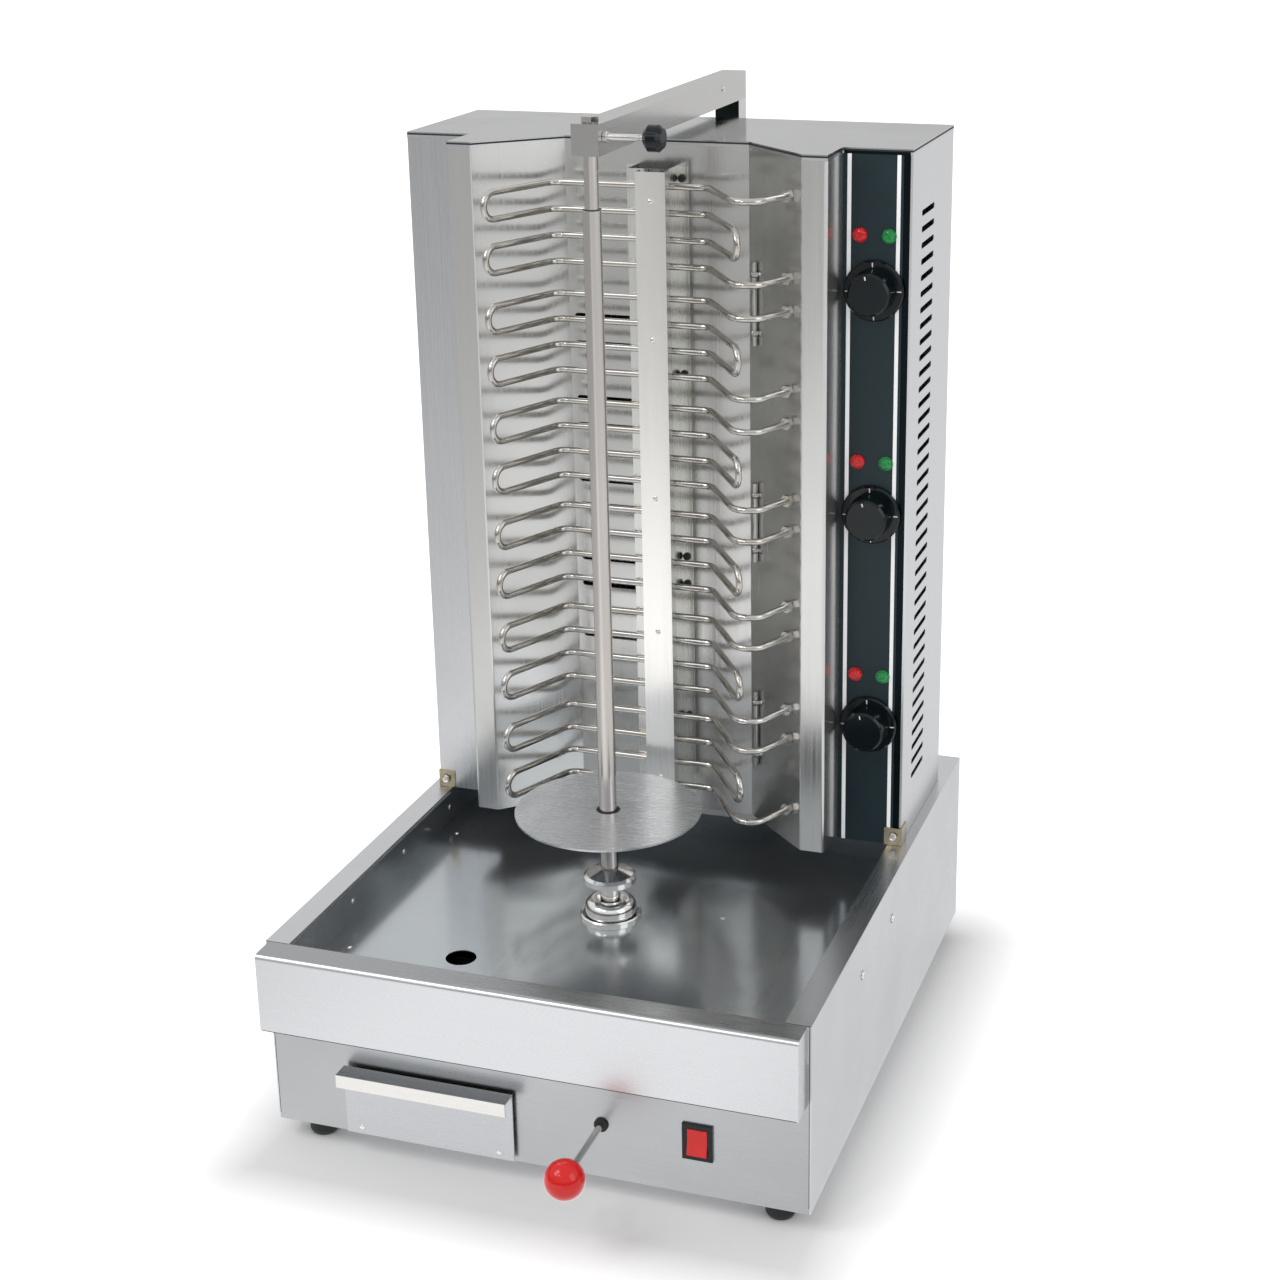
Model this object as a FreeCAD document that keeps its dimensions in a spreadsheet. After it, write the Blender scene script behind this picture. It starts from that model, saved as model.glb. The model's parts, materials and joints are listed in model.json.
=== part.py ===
import FreeCAD, Part
import math
import os
import Sketcher

V = FreeCAD.Vector

# Driving dimensions in millimetres and degrees. Heights are taken from the underside of the base,
# depths from its front panel, and widths from the middle.
SIZES = (
    ("base_width", 520, "outer width of the base"),
    ("base_depth", 595, "front panel to rear panel"),
    ("base_height", 186.6, "underside to rims"),
    ("sheet", 1.2, "thickness of the folded sheets"),
    ("rim_width", 23.6, "flat rim along both sides"),
    ("rim_fold", 12, "fold that goes down inside the rim"),
    ("tray_drop", 35.8, "rim down to the tray floor"),
    ("tray_length", 470, "tray floor, front to rear wall"),
    ("tray_step", 3, "rim down to the top of the tray wall"),
    ("lip_depth", 27.7, "front lip ahead of the front panel"),
    ("lip_height", 77.6, "front face of the lip"),
    ("lip_inset", 3.5, "lip end inside the side panel"),
    ("lip_bend", 5, "outer bend radius of the lip"),
    ("bottom_fold", 12, "upturned edge of the bottom plate"),
    ("foot_height", 20, "rubber foot"),
    ("foot_radius", 14, "rubber foot"),
    ("foot_edge", 2, "rubber foot's lower edge"),
    ("foot_inset_x", 34, "foot centre from the side"),
    ("foot_inset_y", 24, "foot centre from front and rear"),
    ("drain_inset", 156.6, "drain hole from the left side"),
    ("drain_y", 83.2, "drain hole"),
    ("drain_radius", 14.5, "drain hole"),
    ("drawer_inset", 158, "middle of the drawer from the left side"),
    ("drawer_width", 160, "drawer box"),
    ("drawer_length", 240, "drawer box"),
    ("drawer_height", 46, "drawer box"),
    ("drawer_floor", 15, "underside of the drawer box"),
    ("drawer_sheet", 1, "drawer box wall"),
    ("drawer_ajar", 4, "gap behind the front plate as it stands"),
    ("drawer_gap", 0.5, "drawer box to its guides and opening"),
    ("front_overlap", 4, "front plate beyond the box on each side"),
    ("front_bottom", 2.5, "lower edge of the drawer front"),
    ("front_top", 71.5, "upper edge of the drawer front"),
    ("handle_depth", 16.5, "handle lip ahead of the plate"),
    ("handle_drop", 13, "handle lip's front face"),
    ("guide_width", 14, "drawer guide"),
    ("guide_wall", 26, "drawer guide's upright"),
    ("guide_setback", 6, "guide behind the front panel"),
    ("lever_inset", 194.1, "lever rod from the right side"),
    ("lever_z", 54.4, "lever rod"),
    ("rod_radius", 3, "lever rod"),
    ("ball_radius", 18, "lever ball"),
    ("ball_reach", 89, "ball centre ahead of the front panel"),
    ("grommet_radius", 6.6, "lever grommet"),
    ("grommet_face", 3, "grommet ahead of the panel"),
    ("bracket_y", 500, "lever bracket"),
    ("bracket_width", 20, "lever bracket"),
    ("bracket_sheet", 2, "lever bracket"),
    ("bracket_drop", 12, "bracket below the rod's middle"),
    ("bracket_flange", 20, "bracket's top flange"),
    ("bracket_play", 3, "deck slot round the bracket"),
    ("switch_inset", 103.2, "rocker switch from the right side"),
    ("switch_z", 54, "rocker switch"),
    ("bezel_width", 28.4, "switch bezel"),
    ("bezel_height", 35.6, "switch bezel"),
    ("bezel_face", 2.2, "bezel ahead of the panel"),
    ("switch_depth", 24, "switch body behind the panel"),
    ("switch_edge", 2.2, "bezel beyond the body"),
    ("rocker_width", 18.4, "rocker"),
    ("rocker_radius", 13, "rocker, round its pivot"),
    ("rocker_pivot", 2, "pivot behind the bezel's face"),
    ("rocker_tilt", 14, "angle between the rocker's halves"),
    ("rocker_pin", 1.5, "rocker's pivot pins"),
    ("spit_y", 206.8, "spit axis"),
    ("spindle_radius", 8.45, "spindle tube"),
    ("pin_radius", 6.45, "top pin"),
    ("spindle_top", 836.7, "upper end of the spindle tube"),
    ("pin_engagement", 36, "pin inside the spindle"),
    ("disc_radius", 89.25, "meat disc"),
    ("disc_z", 262, "top of the meat disc"),
    ("disc_sheet", 2, "meat disc"),
    ("disc_hole", 11, "hole in the disc"),
    ("disc_boss", 15, "boss under the disc"),
    ("disc_boss_height", 14, "boss under the disc"),
    ("collar_radius", 25.4, "collar on the spindle"),
    ("collar_z", 185, "underside of the collar"),
    ("collar_height", 15, "collar"),
    ("collar_cone", 4.5, "conical top of the collar"),
    ("neck_radius", 9.4, "neck under the collar"),
    ("hub_radius", 25, "domed hub"),
    ("hub_rise", 18.2, "hub above the tray floor"),
    ("hub_recess", 5, "recess in the hub's top"),
    ("hub_gap", 1.6, "hub to tray and ring"),
    ("ring_radius", 29.35, "raised ring round the hub"),
    ("ring_height", 3.6, "raised ring round the hub"),
    ("shaft_radius", 6.5, "drive shaft"),
    ("shaft_depth", 22, "drive shaft inside the gearbox"),
    ("hanger_depth", 18, "motor hanger below the tray"),
    ("hanger_width", 66, "motor hanger"),
    ("hanger_foot", 14, "motor hanger's flanges"),
    ("hanger_sheet", 2, "motor hanger"),
    ("gearbox_width", 62, "gearbox"),
    ("gearbox_length", 74, "gearbox"),
    ("gearbox_height", 28, "gearbox"),
    ("motor_radius", 24, "motor"),
    ("motor_height", 22, "motor"),
    ("running_fit", 0.05, "radial clearance of shafts and pins"),
    ("slide_gap", 0.3, "clearance of faces that slide past each other"),
    ("arm_width", 25.2, "square arm and post"),
    ("arm_height", 27.6, "arm"),
    ("arm_front", 193.5, "front end of the arm"),
    ("arm_z", 884.4, "underside of the arm"),
    ("arm_wall", 2, "wall of the arm and post"),
    ("arm_block", 42, "solid front end of the arm"),
    ("post_depth", 25, "post"),
    ("post_z", 10, "lower end of the post"),
    ("pin_head_radius", 8.2, "head of the top pin"),
    ("pin_head_height", 5, "head of the top pin"),
    ("clamp_z", 900, "clamp screw"),
    ("clamp_radius", 2.65, "clamp screw"),
    ("clamp_knob_x", 59, "middle of the clamp knob"),
    ("clamp_knob_radius", 12, "clamp knob"),
    ("clamp_knob_length", 17, "clamp knob"),
    ("clamp_nut_radius", 5, "lock nut on the clamp screw"),
    ("clamp_nut_length", 4, "lock nut on the clamp screw"),
    ("housing_width", 499.8, "heater housing"),
    ("housing_front", 363, "housing front panels"),
    ("housing_rear", 532.3, "housing rear panel"),
    ("housing_top", 875.3, "top of the lid"),
    ("housing_fold", 12, "inner folds of the housing"),
    ("front_width", 65.25, "front panels beside the shield's columns"),
    ("column_width", 23.95, "front of the columns"),
    ("column_front", 310.7, "front of the columns"),
    ("column_return", 12, "column wall behind the front panels"),
    ("shield_back", 375.2, "back of the cooking recess"),
    ("shield_bottom", 193.9, "lower edge of the shield"),
    ("wall_angle", 43, "angled walls against the back panel"),
    ("bend", 3, "outer bend radius of the columns"),
    ("slot_margin", 5.53, "left end of the shield slots from the back corner"),
    ("slot_right", 8, "right end of the shield slots"),
    ("slot_height", 6, "shield slots"),
    ("slot_top", 701.6, "uppermost shield slot"),
    ("slot_spacing", 27.4, "shield slots"),
    ("slot_count", 13, "shield slots"),
    ("vent_front", 403, "front end of the side vents"),
    ("vent_rear", 454, "rear end of the side vents"),
    ("vent_height", 5.6, "side vents"),
    ("vent_top", 811, "uppermost side vent"),
    ("vent_spacing", 15.3, "side vents"),
    ("vent_count", 38, "side vents"),
    ("panel_margin", 8.3, "control panel inside the housing's side"),
    ("panel_sheet", 1, "control panel"),
    ("knob_inset", 34.4, "knobs from the housing's side"),
    ("knob_high", 745, "upper knob"),
    ("knob_spacing", 215.5, "knob to knob"),
    ("knob_count", 3, "heating zones"),
    ("skirt_radius", 28.5, "knob skirt"),
    ("skirt_height", 4, "knob skirt"),
    ("cap_radius", 21.5, "knob cap"),
    ("cap_height", 20, "knob cap"),
    ("cap_taper", 1.5, "knob cap"),
    ("cap_edge", 2, "knob cap's rounded edge"),
    ("knob_gap", 1, "knob to panel"),
    ("knob_shaft", 3, "knob shaft radius"),
    ("knob_shaft_length", 16, "knob shaft"),
    ("light_rise", 51, "pilot lights above their knob"),
    ("light_left", -14, "red light beside the knob's middle"),
    ("light_right", 13.5, "green light beside the knob's middle"),
    ("light_radius", 7, "pilot lights"),
    ("light_height", 5, "pilot lights"),
    ("light_stem", 5, "pilot light's stem radius"),
    ("thermostat_size", 34, "thermostat"),
    ("thermostat_depth", 26, "thermostat"),
    ("bore_end", 1, "room behind the knob shafts"),
    ("tube_radius", 3.15, "heating tube"),
    ("tube_y", 345, "middle runs of the heating tubes"),
    ("bend_outset", 1.17, "left bend of the runs beyond the recess's back corner"),
    ("bend_inset", 29.73, "right bend of the runs inside the recess's back corner"),
    ("left_leg", 89.8, "left leg to the end of its loop"),
    ("left_angle", 113.2, "heading of the left legs"),
    ("right_leg", 95, "right leg to the end of its loop"),
    ("right_angle", 56.6, "heading of the right legs"),
    ("terminal_leg", 102.7, "right leg to the corner of the terminals"),
    ("terminal_angle", 66.4, "heading of the terminals"),
    ("terminal_bend", 18, "bend radius of the terminals"),
    ("terminal_tail", 14, "terminal behind the shield"),
    ("tube_bend", 14, "bend radius of the runs"),
    ("run_spacing", 25, "run to run"),
    ("tube_top", 836, "uppermost run"),
    ("element_spacing", 105.8, "element to element"),
    ("element_count", 6, "heating elements"),
    ("nut_radius", 6.2, "terminal nut"),
    ("nut_length", 5, "terminal nut"),
    ("hole_gap", 0.3, "terminal to its hole in the shield"),
    ("bar_left", -5, "front bar"),
    ("bar_right", 24.5, "front bar"),
    ("bar_depth", 11.8, "front bar"),
    ("bar_top", 851, "front bar"),
    ("bar_bottom", 212, "front bar"),
    ("hat_left", -18, "rear bar's web"),
    ("hat_right", 20.5, "rear bar's web"),
    ("hat_flange", 11, "rear bar's flanges"),
    ("bulb_radius", 3, "thermostat bulbs"),
    ("bulb_length", 80, "thermostat bulbs"),
    ("bulb_top", 766, "upper thermostat bulb"),
    ("bulb_wall", 14, "bulbs from the back corner along the wall"),
    ("shoe_width", 18, "corner bracket on the rim"),
    ("shoe_height", 18.4, "corner bracket on the rim"),
    ("shoe_wing", 20, "corner bracket along the housing side"),
    ("gland_inset", 110, "cable gland from the left side"),
    ("gland_z", 60, "cable gland"),
    ("gland_radius", 9, "cable gland"),
    ("gland_flange", 4, "cable gland"),
    ("gland_length", 10, "cable gland behind the panel"),
    ("gland_inside", 8, "cable gland inside the base"),
    ("block_length", 60, "terminal block"),
    ("block_width", 22, "terminal block"),
    ("block_height", 18, "terminal block"),
    ("block_inset", 120, "terminal block from the left side"),
    ("block_y", 420, "terminal block"),
)


class Size:
    """A dimension that carries both its value and the sheet formula that gives it."""

    def __init__(self, value, formula):
        self.value = float(value)
        self.formula = formula

    def joined(self, other, sign, swap=False):
        other = size(other)
        first, second = (other, self) if swap else (self, other)
        a, b = first.value, second.value
        value = {"+": a + b, "-": a - b, "*": a * b}.get(sign)
        if value is None:
            value = a / b
        return Size(value, "(%s %s %s)" % (first.formula, sign, second.formula))

    def __add__(self, other):
        return self.joined(other, "+")

    def __radd__(self, other):
        return self.joined(other, "+", True)

    def __sub__(self, other):
        return self.joined(other, "-")

    def __rsub__(self, other):
        return self.joined(other, "-", True)

    def __mul__(self, other):
        return self.joined(other, "*")

    def __rmul__(self, other):
        return self.joined(other, "*", True)

    def __truediv__(self, other):
        return self.joined(other, "/")

    def __neg__(self):
        return 0 - self


def size(value):
    return value if isinstance(value, Size) else Size(value, "%.10g" % value)


def cosine(angle):
    return Size(math.cos(math.radians(angle.value)), "cos(%s)" % angle.formula)


def sine(angle):
    return Size(math.sin(math.radians(angle.value)), "sin(%s)" % angle.formula)


doc = FreeCAD.newDocument("Machine")
sheet = doc.addObject("Spreadsheet::Sheet", "Sizes")
for row, (alias, value, meaning) in enumerate(SIZES, start=1):
    sheet.set("A%d" % row, alias)
    sheet.set("B%d" % row, str(value))
    sheet.set("C%d" % row, meaning)
    sheet.setAlias("B%d" % row, alias)
doc.recompute()


class Sheet:
    """Gives each cell of the sheet by its alias."""

    def __getattr__(self, alias):
        return Size(sheet.get(alias), "Sizes." + alias)


S = Sheet()

# Middle of the whole depth, from the ball's front to the post's rear, lies on the origin.
front_y = (S.ball_reach + S.ball_radius - S.base_depth - S.post_depth) / 2
half = S.base_width / 2
tray_z = S.base_height - S.tray_drop
under_tray = tray_z - S.sheet
rim_x = half - S.rim_width
inner_depth = S.base_depth - S.sheet
housing_half = S.housing_width / 2
housing_floor = S.base_height + S.slide_gap
lid_underside = S.housing_top - S.sheet
front_leg = S.shield_back - S.column_front
column_outer = housing_half - S.front_width
column_inner = column_outer - S.column_width
recess_half = column_inner - front_leg * cosine(S.wall_angle) / sine(S.wall_angle)
panel_right = housing_half - S.panel_margin
knob_x = housing_half - S.knob_inset
bend_left = -recess_half - S.bend_outset
bend_right = recess_half - S.bend_inset
drain_x = S.drain_inset - half
drawer_x = S.drawer_inset - half
gland_x = S.gland_inset - half
block_x = S.block_inset - half
lever_x = half - S.lever_inset
switch_x = half - S.switch_inset
parts = {}


def bind(thing, prop, value):
    thing.setExpression(prop, size(value).formula)


def place(thing, x=0, y=0, z=0, rotation=None):
    """Seats an object whose own frame starts at the underside and the front panel of the base."""
    if rotation is not None:
        thing.Placement = FreeCAD.Placement(V(0, 0, 0), rotation)
    bind(thing, ".Placement.Base.x", size(x) + 0)
    bind(thing, ".Placement.Base.y", size(y) + front_y)
    bind(thing, ".Placement.Base.z", size(z) + S.foot_height)


def subpart(name, thing, x=0, y=0, z=0, rotation=None):
    thing.Label = name
    place(thing, x, y, z, rotation)
    parts[name] = thing
    return thing


def origin_item(body, role):
    for item in body.Origin.OriginFeatures:
        if item.Role == role:
            return item
    raise LookupError(role)


def add_polygon(sketch, points):
    """A closed outline: each corner is held by its two distances from the sketch's origin."""
    first = sketch.GeometryCount
    count = len(points)
    corners = [V(size(x).value, size(y).value, 0) for x, y in points]
    for i in range(count):
        sketch.addGeometry(Part.LineSegment(corners[i], corners[(i + 1) % count]), False)
    for i in range(count):
        sketch.addConstraint(
            Sketcher.Constraint("Coincident", first + i, 2, first + (i + 1) % count, 1))
    for i, (x, y) in enumerate(points):
        locate(sketch, first + i, 1, x, y)


def locate(sketch, geometry, vertex, x, y):
    for kind, value in (("DistanceX", size(x)), ("DistanceY", size(y))):
        number = sketch.addConstraint(
            Sketcher.Constraint(kind, -1, 1, geometry, vertex, value.value))
        sketch.setExpression("Constraints[%d]" % number, value.formula)


def add_circle(sketch, x, y, radius):
    x, y, radius = size(x), size(y), size(radius)
    number = sketch.addGeometry(Part.Circle(V(x.value, y.value, 0), V(0, 0, 1), radius.value), False)
    locate(sketch, number, 3, x, y)
    held = sketch.addConstraint(Sketcher.Constraint("Radius", number, radius.value))
    sketch.setExpression("Constraints[%d]" % held, radius.formula)


def add_slot(sketch, left, right, y, width):
    """A slot with round ends, lying along the sketch's first axis."""
    radius = size(width) / 2
    y = size(y)
    ends = [size(left) + radius, size(right) - radius]
    first = sketch.GeometryCount
    turns = ((90, 270), (270, 450))
    for middle, (start, stop) in zip(ends, turns):
        circle = Part.Circle(V(middle.value, y.value, 0), V(0, 0, 1), radius.value)
        arc = Part.ArcOfCircle(circle, math.radians(start), math.radians(stop))
        sketch.addGeometry(arc, False)
    lower = y.value - radius.value
    upper = y.value + radius.value
    sketch.addGeometry(Part.LineSegment(V(ends[0].value, lower, 0), V(ends[1].value, lower, 0)), False)
    sketch.addGeometry(Part.LineSegment(V(ends[1].value, upper, 0), V(ends[0].value, upper, 0)), False)
    for a, b in (((0, 2), (2, 1)), ((2, 2), (1, 1)), ((1, 2), (3, 1)), ((3, 2), (0, 1))):
        sketch.addConstraint(
            Sketcher.Constraint("Tangent", first + a[0], a[1], first + b[0], b[1]))
    sketch.addConstraint(Sketcher.Constraint("Horizontal", first + 2))
    for i, middle in enumerate(ends):
        if i == 0:
            locate(sketch, first, 3, middle, y)
        else:
            number = sketch.addConstraint(
                Sketcher.Constraint("DistanceX", -1, 1, first + 1, 3, middle.value))
            sketch.setExpression("Constraints[%d]" % number, middle.formula)
    held = sketch.addConstraint(Sketcher.Constraint("Radius", first, radius.value))
    sketch.setExpression("Constraints[%d]" % held, radius.formula)


ADD = {"polygon": add_polygon, "circle": add_circle, "slot": add_slot}


def new_sketch(body, plane, start, loops):
    sketch = body.newObject("Sketcher::SketchObject", "Sketch")
    sketch.AttachmentSupport = [(origin_item(body, plane + "_Plane"), "")]
    sketch.MapMode = "FlatFace"
    shift = -size(start) if plane == "XZ" else size(start)
    sketch.AttachmentOffset = FreeCAD.Placement(V(0, 0, shift.value), FreeCAD.Rotation())
    sketch.setExpression(".AttachmentOffset.Base.z", shift.formula)
    for loop in loops:
        ADD[loop[0]](sketch, *loop[1:])
    return sketch


def new_body(name):
    return doc.addObject("PartDesign::Body", name)


def pad(body, plane, start, length, *loops):
    """Adds material from start over length, along the axis square to the plane."""
    feature = body.newObject("PartDesign::Pad", "Pad")
    feature.Profile = new_sketch(body, plane, start, loops)
    bind(feature, "Length", length)
    feature.Reversed = plane == "XZ"
    return feature


def pocket(body, plane, start, length, *loops):
    """Takes material away from start over length, along the axis square to the plane."""
    feature = body.newObject("PartDesign::Pocket", "Pocket")
    feature.Profile = new_sketch(body, plane, start, loops)
    bind(feature, "Length", length)
    feature.Reversed = plane != "XZ"
    return feature


def repeat(body, feature, axis, reverse, pitch, count):
    """Repeats a feature count times, pitch apart, along an axis of the body."""
    pattern = body.newObject("PartDesign::LinearPattern", "Pattern")
    pattern.Originals = [feature]
    pattern.Direction = (origin_item(body, axis + "_Axis"), [""])
    pattern.Reversed = reverse
    bind(pattern, "Occurrences", count)
    bind(pattern, "Length", pitch * (count - 1))
    body.Tip = pattern
    return pattern


def rectangle(x, y, width, height):
    x, y, width, height = size(x), size(y), size(width), size(height)
    return "polygon", [(x, y), (x + width, y), (x + width, y + height), (x, y + height)]


def folded(points, thickness, headings=None):
    """Outline of a folded sheet: an outer line and the same line one thickness to its left.

    headings gives the direction of the sloping runs by their number."""
    headings = headings or {}
    points = [(size(x), size(y)) for x, y in points]
    ways = []
    for i in range(len(points) - 1):
        if i in headings:
            ways.append(headings[i])
            continue
        dx = points[i + 1][0].value - points[i][0].value
        dy = points[i + 1][1].value - points[i][1].value
        length = math.hypot(dx, dy)
        ways.append((size(round(dx / length)), size(round(dy / length))))
    inner = []
    for i, (x, y) in enumerate(points):
        before = ways[max(i - 1, 0)]
        after = ways[min(i, len(ways) - 1)]
        share = 1 + before[0] * after[0] + before[1] * after[1]
        move = size(thickness) / share
        inner.append((x - move * (before[1] + after[1]), y + move * (before[0] + after[0])))
    ends = (0, len(points) - 1)
    for i in ends:
        way = ways[0] if i == 0 else ways[-1]
        x, y = points[i]
        inner[i] = (x - way[1] * thickness, y + way[0] * thickness)
    return "polygon", points + inner[::-1]


def edges_near(shape, test):
    found = []
    for number, edge in enumerate(shape.Edges, start=1):
        first, last = edge.ParameterRange
        if test(edge, edge.valueAt((first + last) / 2)):
            found.append("Edge%d" % number)
    return found


def round_edges(body, radius, test):
    """Rounds the edges of the body's latest feature that the test accepts."""
    doc.recompute()
    base = body.Tip
    feature = body.newObject("PartDesign::Fillet", "Fillet")
    feature.Base = (base, edges_near(base.Shape, test))
    bind(feature, "Radius", radius)
    return feature


def upright_near(corners, least, most):
    """Accepts straight edges along Z that stand between two distances from one of the points."""
    def test(edge, middle):
        ends = edge.Vertexes
        if len(ends) != 2:
            return False
        run = ends[1].Point - ends[0].Point
        if abs(run.x) + abs(run.y) > 0.01:
            return False
        return any(least <= math.hypot(middle.x - x.value, middle.y - y.value) <= most
                   for x, y in corners)
    return test


def lying_at(y, z):
    """Accepts straight edges along X at the given depth and height."""
    def test(edge, middle):
        run = edge.Vertexes[-1].Point - edge.Vertexes[0].Point
        if abs(run.y) + abs(run.z) > 0.01 or abs(run.x) < 1:
            return False
        return abs(middle.y - size(y).value) + abs(middle.z - size(z).value) < 0.05
    return test


def circle_at(radius, height):
    def test(edge, middle):
        curve = edge.Curve
        return (isinstance(curve, Part.Circle) and abs(curve.Radius - size(radius).value) < 0.02
                and abs(curve.Center.z - size(height).value) < 0.02)
    return test


def lathe(name, outline):
    """Turns an outline of (radius, height) points about the body's own Z axis."""
    body = new_body(name)
    feature = body.newObject("PartDesign::Revolution", "Revolution")
    profile = new_sketch(body, "XZ", 0, [("polygon", outline)])
    feature.Profile = profile
    feature.ReferenceAxis = (profile, ["V_Axis"])
    feature.Angle = 360
    return body


def box(x, y, z, dx, dy, dz):
    thing = doc.addObject("Part::Box", "Box")
    for prop, value in (("Length", dx), ("Width", dy), ("Height", dz), (".Placement.Base.x", x),
                        (".Placement.Base.y", y), (".Placement.Base.z", z)):
        bind(thing, prop, value)
    return thing


AXES = {
    "X": FreeCAD.Rotation(V(0, 1, 0), 90),
    "Y": FreeCAD.Rotation(V(1, 0, 0), -90),
    "Z": FreeCAD.Rotation(),
}


def cylinder(x, y, z, radius, length, axis="Z"):
    thing = doc.addObject("Part::Cylinder", "Cylinder")
    thing.Placement = FreeCAD.Placement(V(0, 0, 0), AXES[axis])
    for prop, value in (("Radius", radius), ("Height", length), (".Placement.Base.x", x),
                        (".Placement.Base.y", y), (".Placement.Base.z", z)):
        bind(thing, prop, value)
    return thing


def fuse(*things):
    result = doc.addObject("Part::MultiFuse", "Fusion")
    result.Shapes = list(things)
    return result


def cut(base, *tools):
    result = doc.addObject("Part::Cut", "Cut")
    result.Base = base
    result.Tool = tools[0] if len(tools) == 1 else fuse(*tools)
    return result


def make_base():
    for side, name in ((-1, "base_side_left"), (1, "base_side_right")):
        line = [(half * side, 0), (half * side, S.base_height), (rim_x * side, S.base_height),
                (rim_x * side, S.base_height - S.rim_fold)]
        body = new_body(name)
        pad(body, "XZ", 0, inner_depth, folded(line, S.sheet * side))
        subpart(name, body)

    body = new_body("base_front_panel")
    inside = half - S.sheet
    pad(body, "XZ", 0, S.sheet, rectangle(-inside, 0, inside * 2, under_tray))
    mouth = S.drawer_width / 2 + S.drawer_gap
    pocket(body, "XZ", 0, S.sheet,
           rectangle(drawer_x - mouth, S.drawer_floor - S.drawer_gap, mouth * 2,
                     S.drawer_height + S.drawer_gap * 2),
           ("circle", lever_x, S.lever_z, S.grommet_radius - 1),
           rectangle(switch_x - S.bezel_width / 2 + S.switch_edge,
                     S.switch_z - S.bezel_height / 2 + S.switch_edge,
                     S.bezel_width - S.switch_edge * 2, S.bezel_height - S.switch_edge * 2))
    subpart("base_front_panel", body)

    body = new_body("base_rear_panel")
    pad(body, "XZ", inner_depth, S.sheet, rectangle(-half, 0, half * 2, S.base_height))
    pocket(body, "XZ", inner_depth, S.sheet, ("circle", gland_x, S.gland_z, S.gland_radius - 2))
    subpart("base_rear_panel", body)

    body = new_body("base_bottom_plate")
    deep = inner_depth - S.sheet
    pad(body, "XY", 0, S.bottom_fold, rectangle(-inside, S.sheet, inside * 2, deep))
    pocket(body, "XY", S.sheet, S.bottom_fold,
           rectangle(-inside + S.sheet, S.sheet * 2, (inside - S.sheet) * 2, deep - S.sheet * 2))
    subpart("base_bottom_plate", body)

    for x_side, across in ((-1, "left"), (1, "right")):
        for y_near, along in ((S.foot_inset_y, "front"), (S.base_depth - S.foot_inset_y, "rear")):
            name = "foot_%s_%s" % (along, across)
            outline = [(0, -S.foot_height), (S.foot_radius - S.foot_edge, -S.foot_height),
                       (S.foot_radius, -S.foot_height + S.foot_edge * 2),
                       (S.foot_radius - S.foot_edge / 2, 0), (0, 0)]
            subpart(name, lathe(name, outline), (half - S.foot_inset_x) * x_side, y_near, 0)


def make_tray():
    body = new_body("drip_tray")
    line = [(0, tray_z), (S.tray_length, tray_z), (S.tray_length, S.base_height),
            (inner_depth, S.base_height)]
    width = rim_x * 2
    pad(body, "YZ", -rim_x, width, folded(line, -S.sheet))
    for start in (-rim_x, rim_x - S.sheet):
        pad(body, "YZ", start, S.sheet,
            rectangle(0, tray_z, S.tray_length, S.tray_drop - S.tray_step))
    pocket(body, "XY", under_tray, S.sheet,
           ("circle", drain_x, S.drain_y, S.drain_radius),
           ("circle", 0, S.spit_y, S.shaft_radius + 2))
    across = S.bracket_width / 2 + S.bracket_play
    along = S.base_depth - S.housing_rear + S.bracket_flange
    pocket(body, "XY", S.base_height - S.sheet, S.sheet,
           rectangle(lever_x - across, S.bracket_y - S.bracket_play, across * 2, along))
    subpart("drip_tray", body)

    body = new_body("tray_front_lip")
    bottom = S.base_height - S.lip_height
    line = [(0, bottom), (-S.lip_depth, bottom), (-S.lip_depth, S.base_height),
            (0, S.base_height), (0, under_tray)]
    end_x = half - S.lip_inset
    pad(body, "YZ", -end_x, end_x * 2, folded(line, -S.sheet))
    for start in (-end_x, end_x - S.sheet):
        pad(body, "YZ", start, S.sheet,
            rectangle(-S.lip_depth, bottom, S.lip_depth, S.lip_height))
    round_edges(body, S.lip_bend - S.sheet,
                lying_at(-S.lip_depth + S.sheet, S.base_height - S.sheet))
    round_edges(body, S.lip_bend, lying_at(-S.lip_depth, S.base_height))
    subpart("tray_front_lip", body)


FACING = FreeCAD.Rotation(V(1, 0, 0), 90)


def make_drawer():
    left = drawer_x - S.drawer_width / 2
    back = -S.drawer_ajar
    body = new_body("drawer_front")
    line = [(back, S.front_bottom), (back, S.front_top),
            (back - S.sheet - S.handle_depth, S.front_top),
            (back - S.sheet - S.handle_depth, S.front_top - S.handle_drop)]
    pad(body, "YZ", left - S.front_overlap, S.drawer_width + S.front_overlap * 2,
        folded(line, S.sheet))
    subpart("drawer_front", body)

    body = new_body("drawer_box")
    wall = S.drawer_sheet
    pad(body, "XY", S.drawer_floor, S.drawer_height,
        rectangle(left, back, S.drawer_width, S.drawer_length))
    pocket(body, "XY", S.drawer_floor + wall, S.drawer_height,
           rectangle(left + wall, back + wall, S.drawer_width - wall * 2,
                     S.drawer_length - wall * 2))
    subpart("drawer_box", body)

    ledge = S.drawer_floor - S.slide_gap
    for side, name in ((-1, "drawer_guide_left"), (1, "drawer_guide_right")):
        outer = drawer_x + (S.drawer_width / 2 + S.drawer_gap) * side
        inner = outer - S.guide_width * side
        line = [(outer, S.sheet), (inner, S.sheet), (inner, ledge), (outer, ledge),
                (outer, ledge + S.guide_wall)]
        body = new_body(name)
        pad(body, "XZ", S.guide_setback, S.drawer_length, folded(line, S.sheet * -side))
        subpart(name, body)


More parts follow.
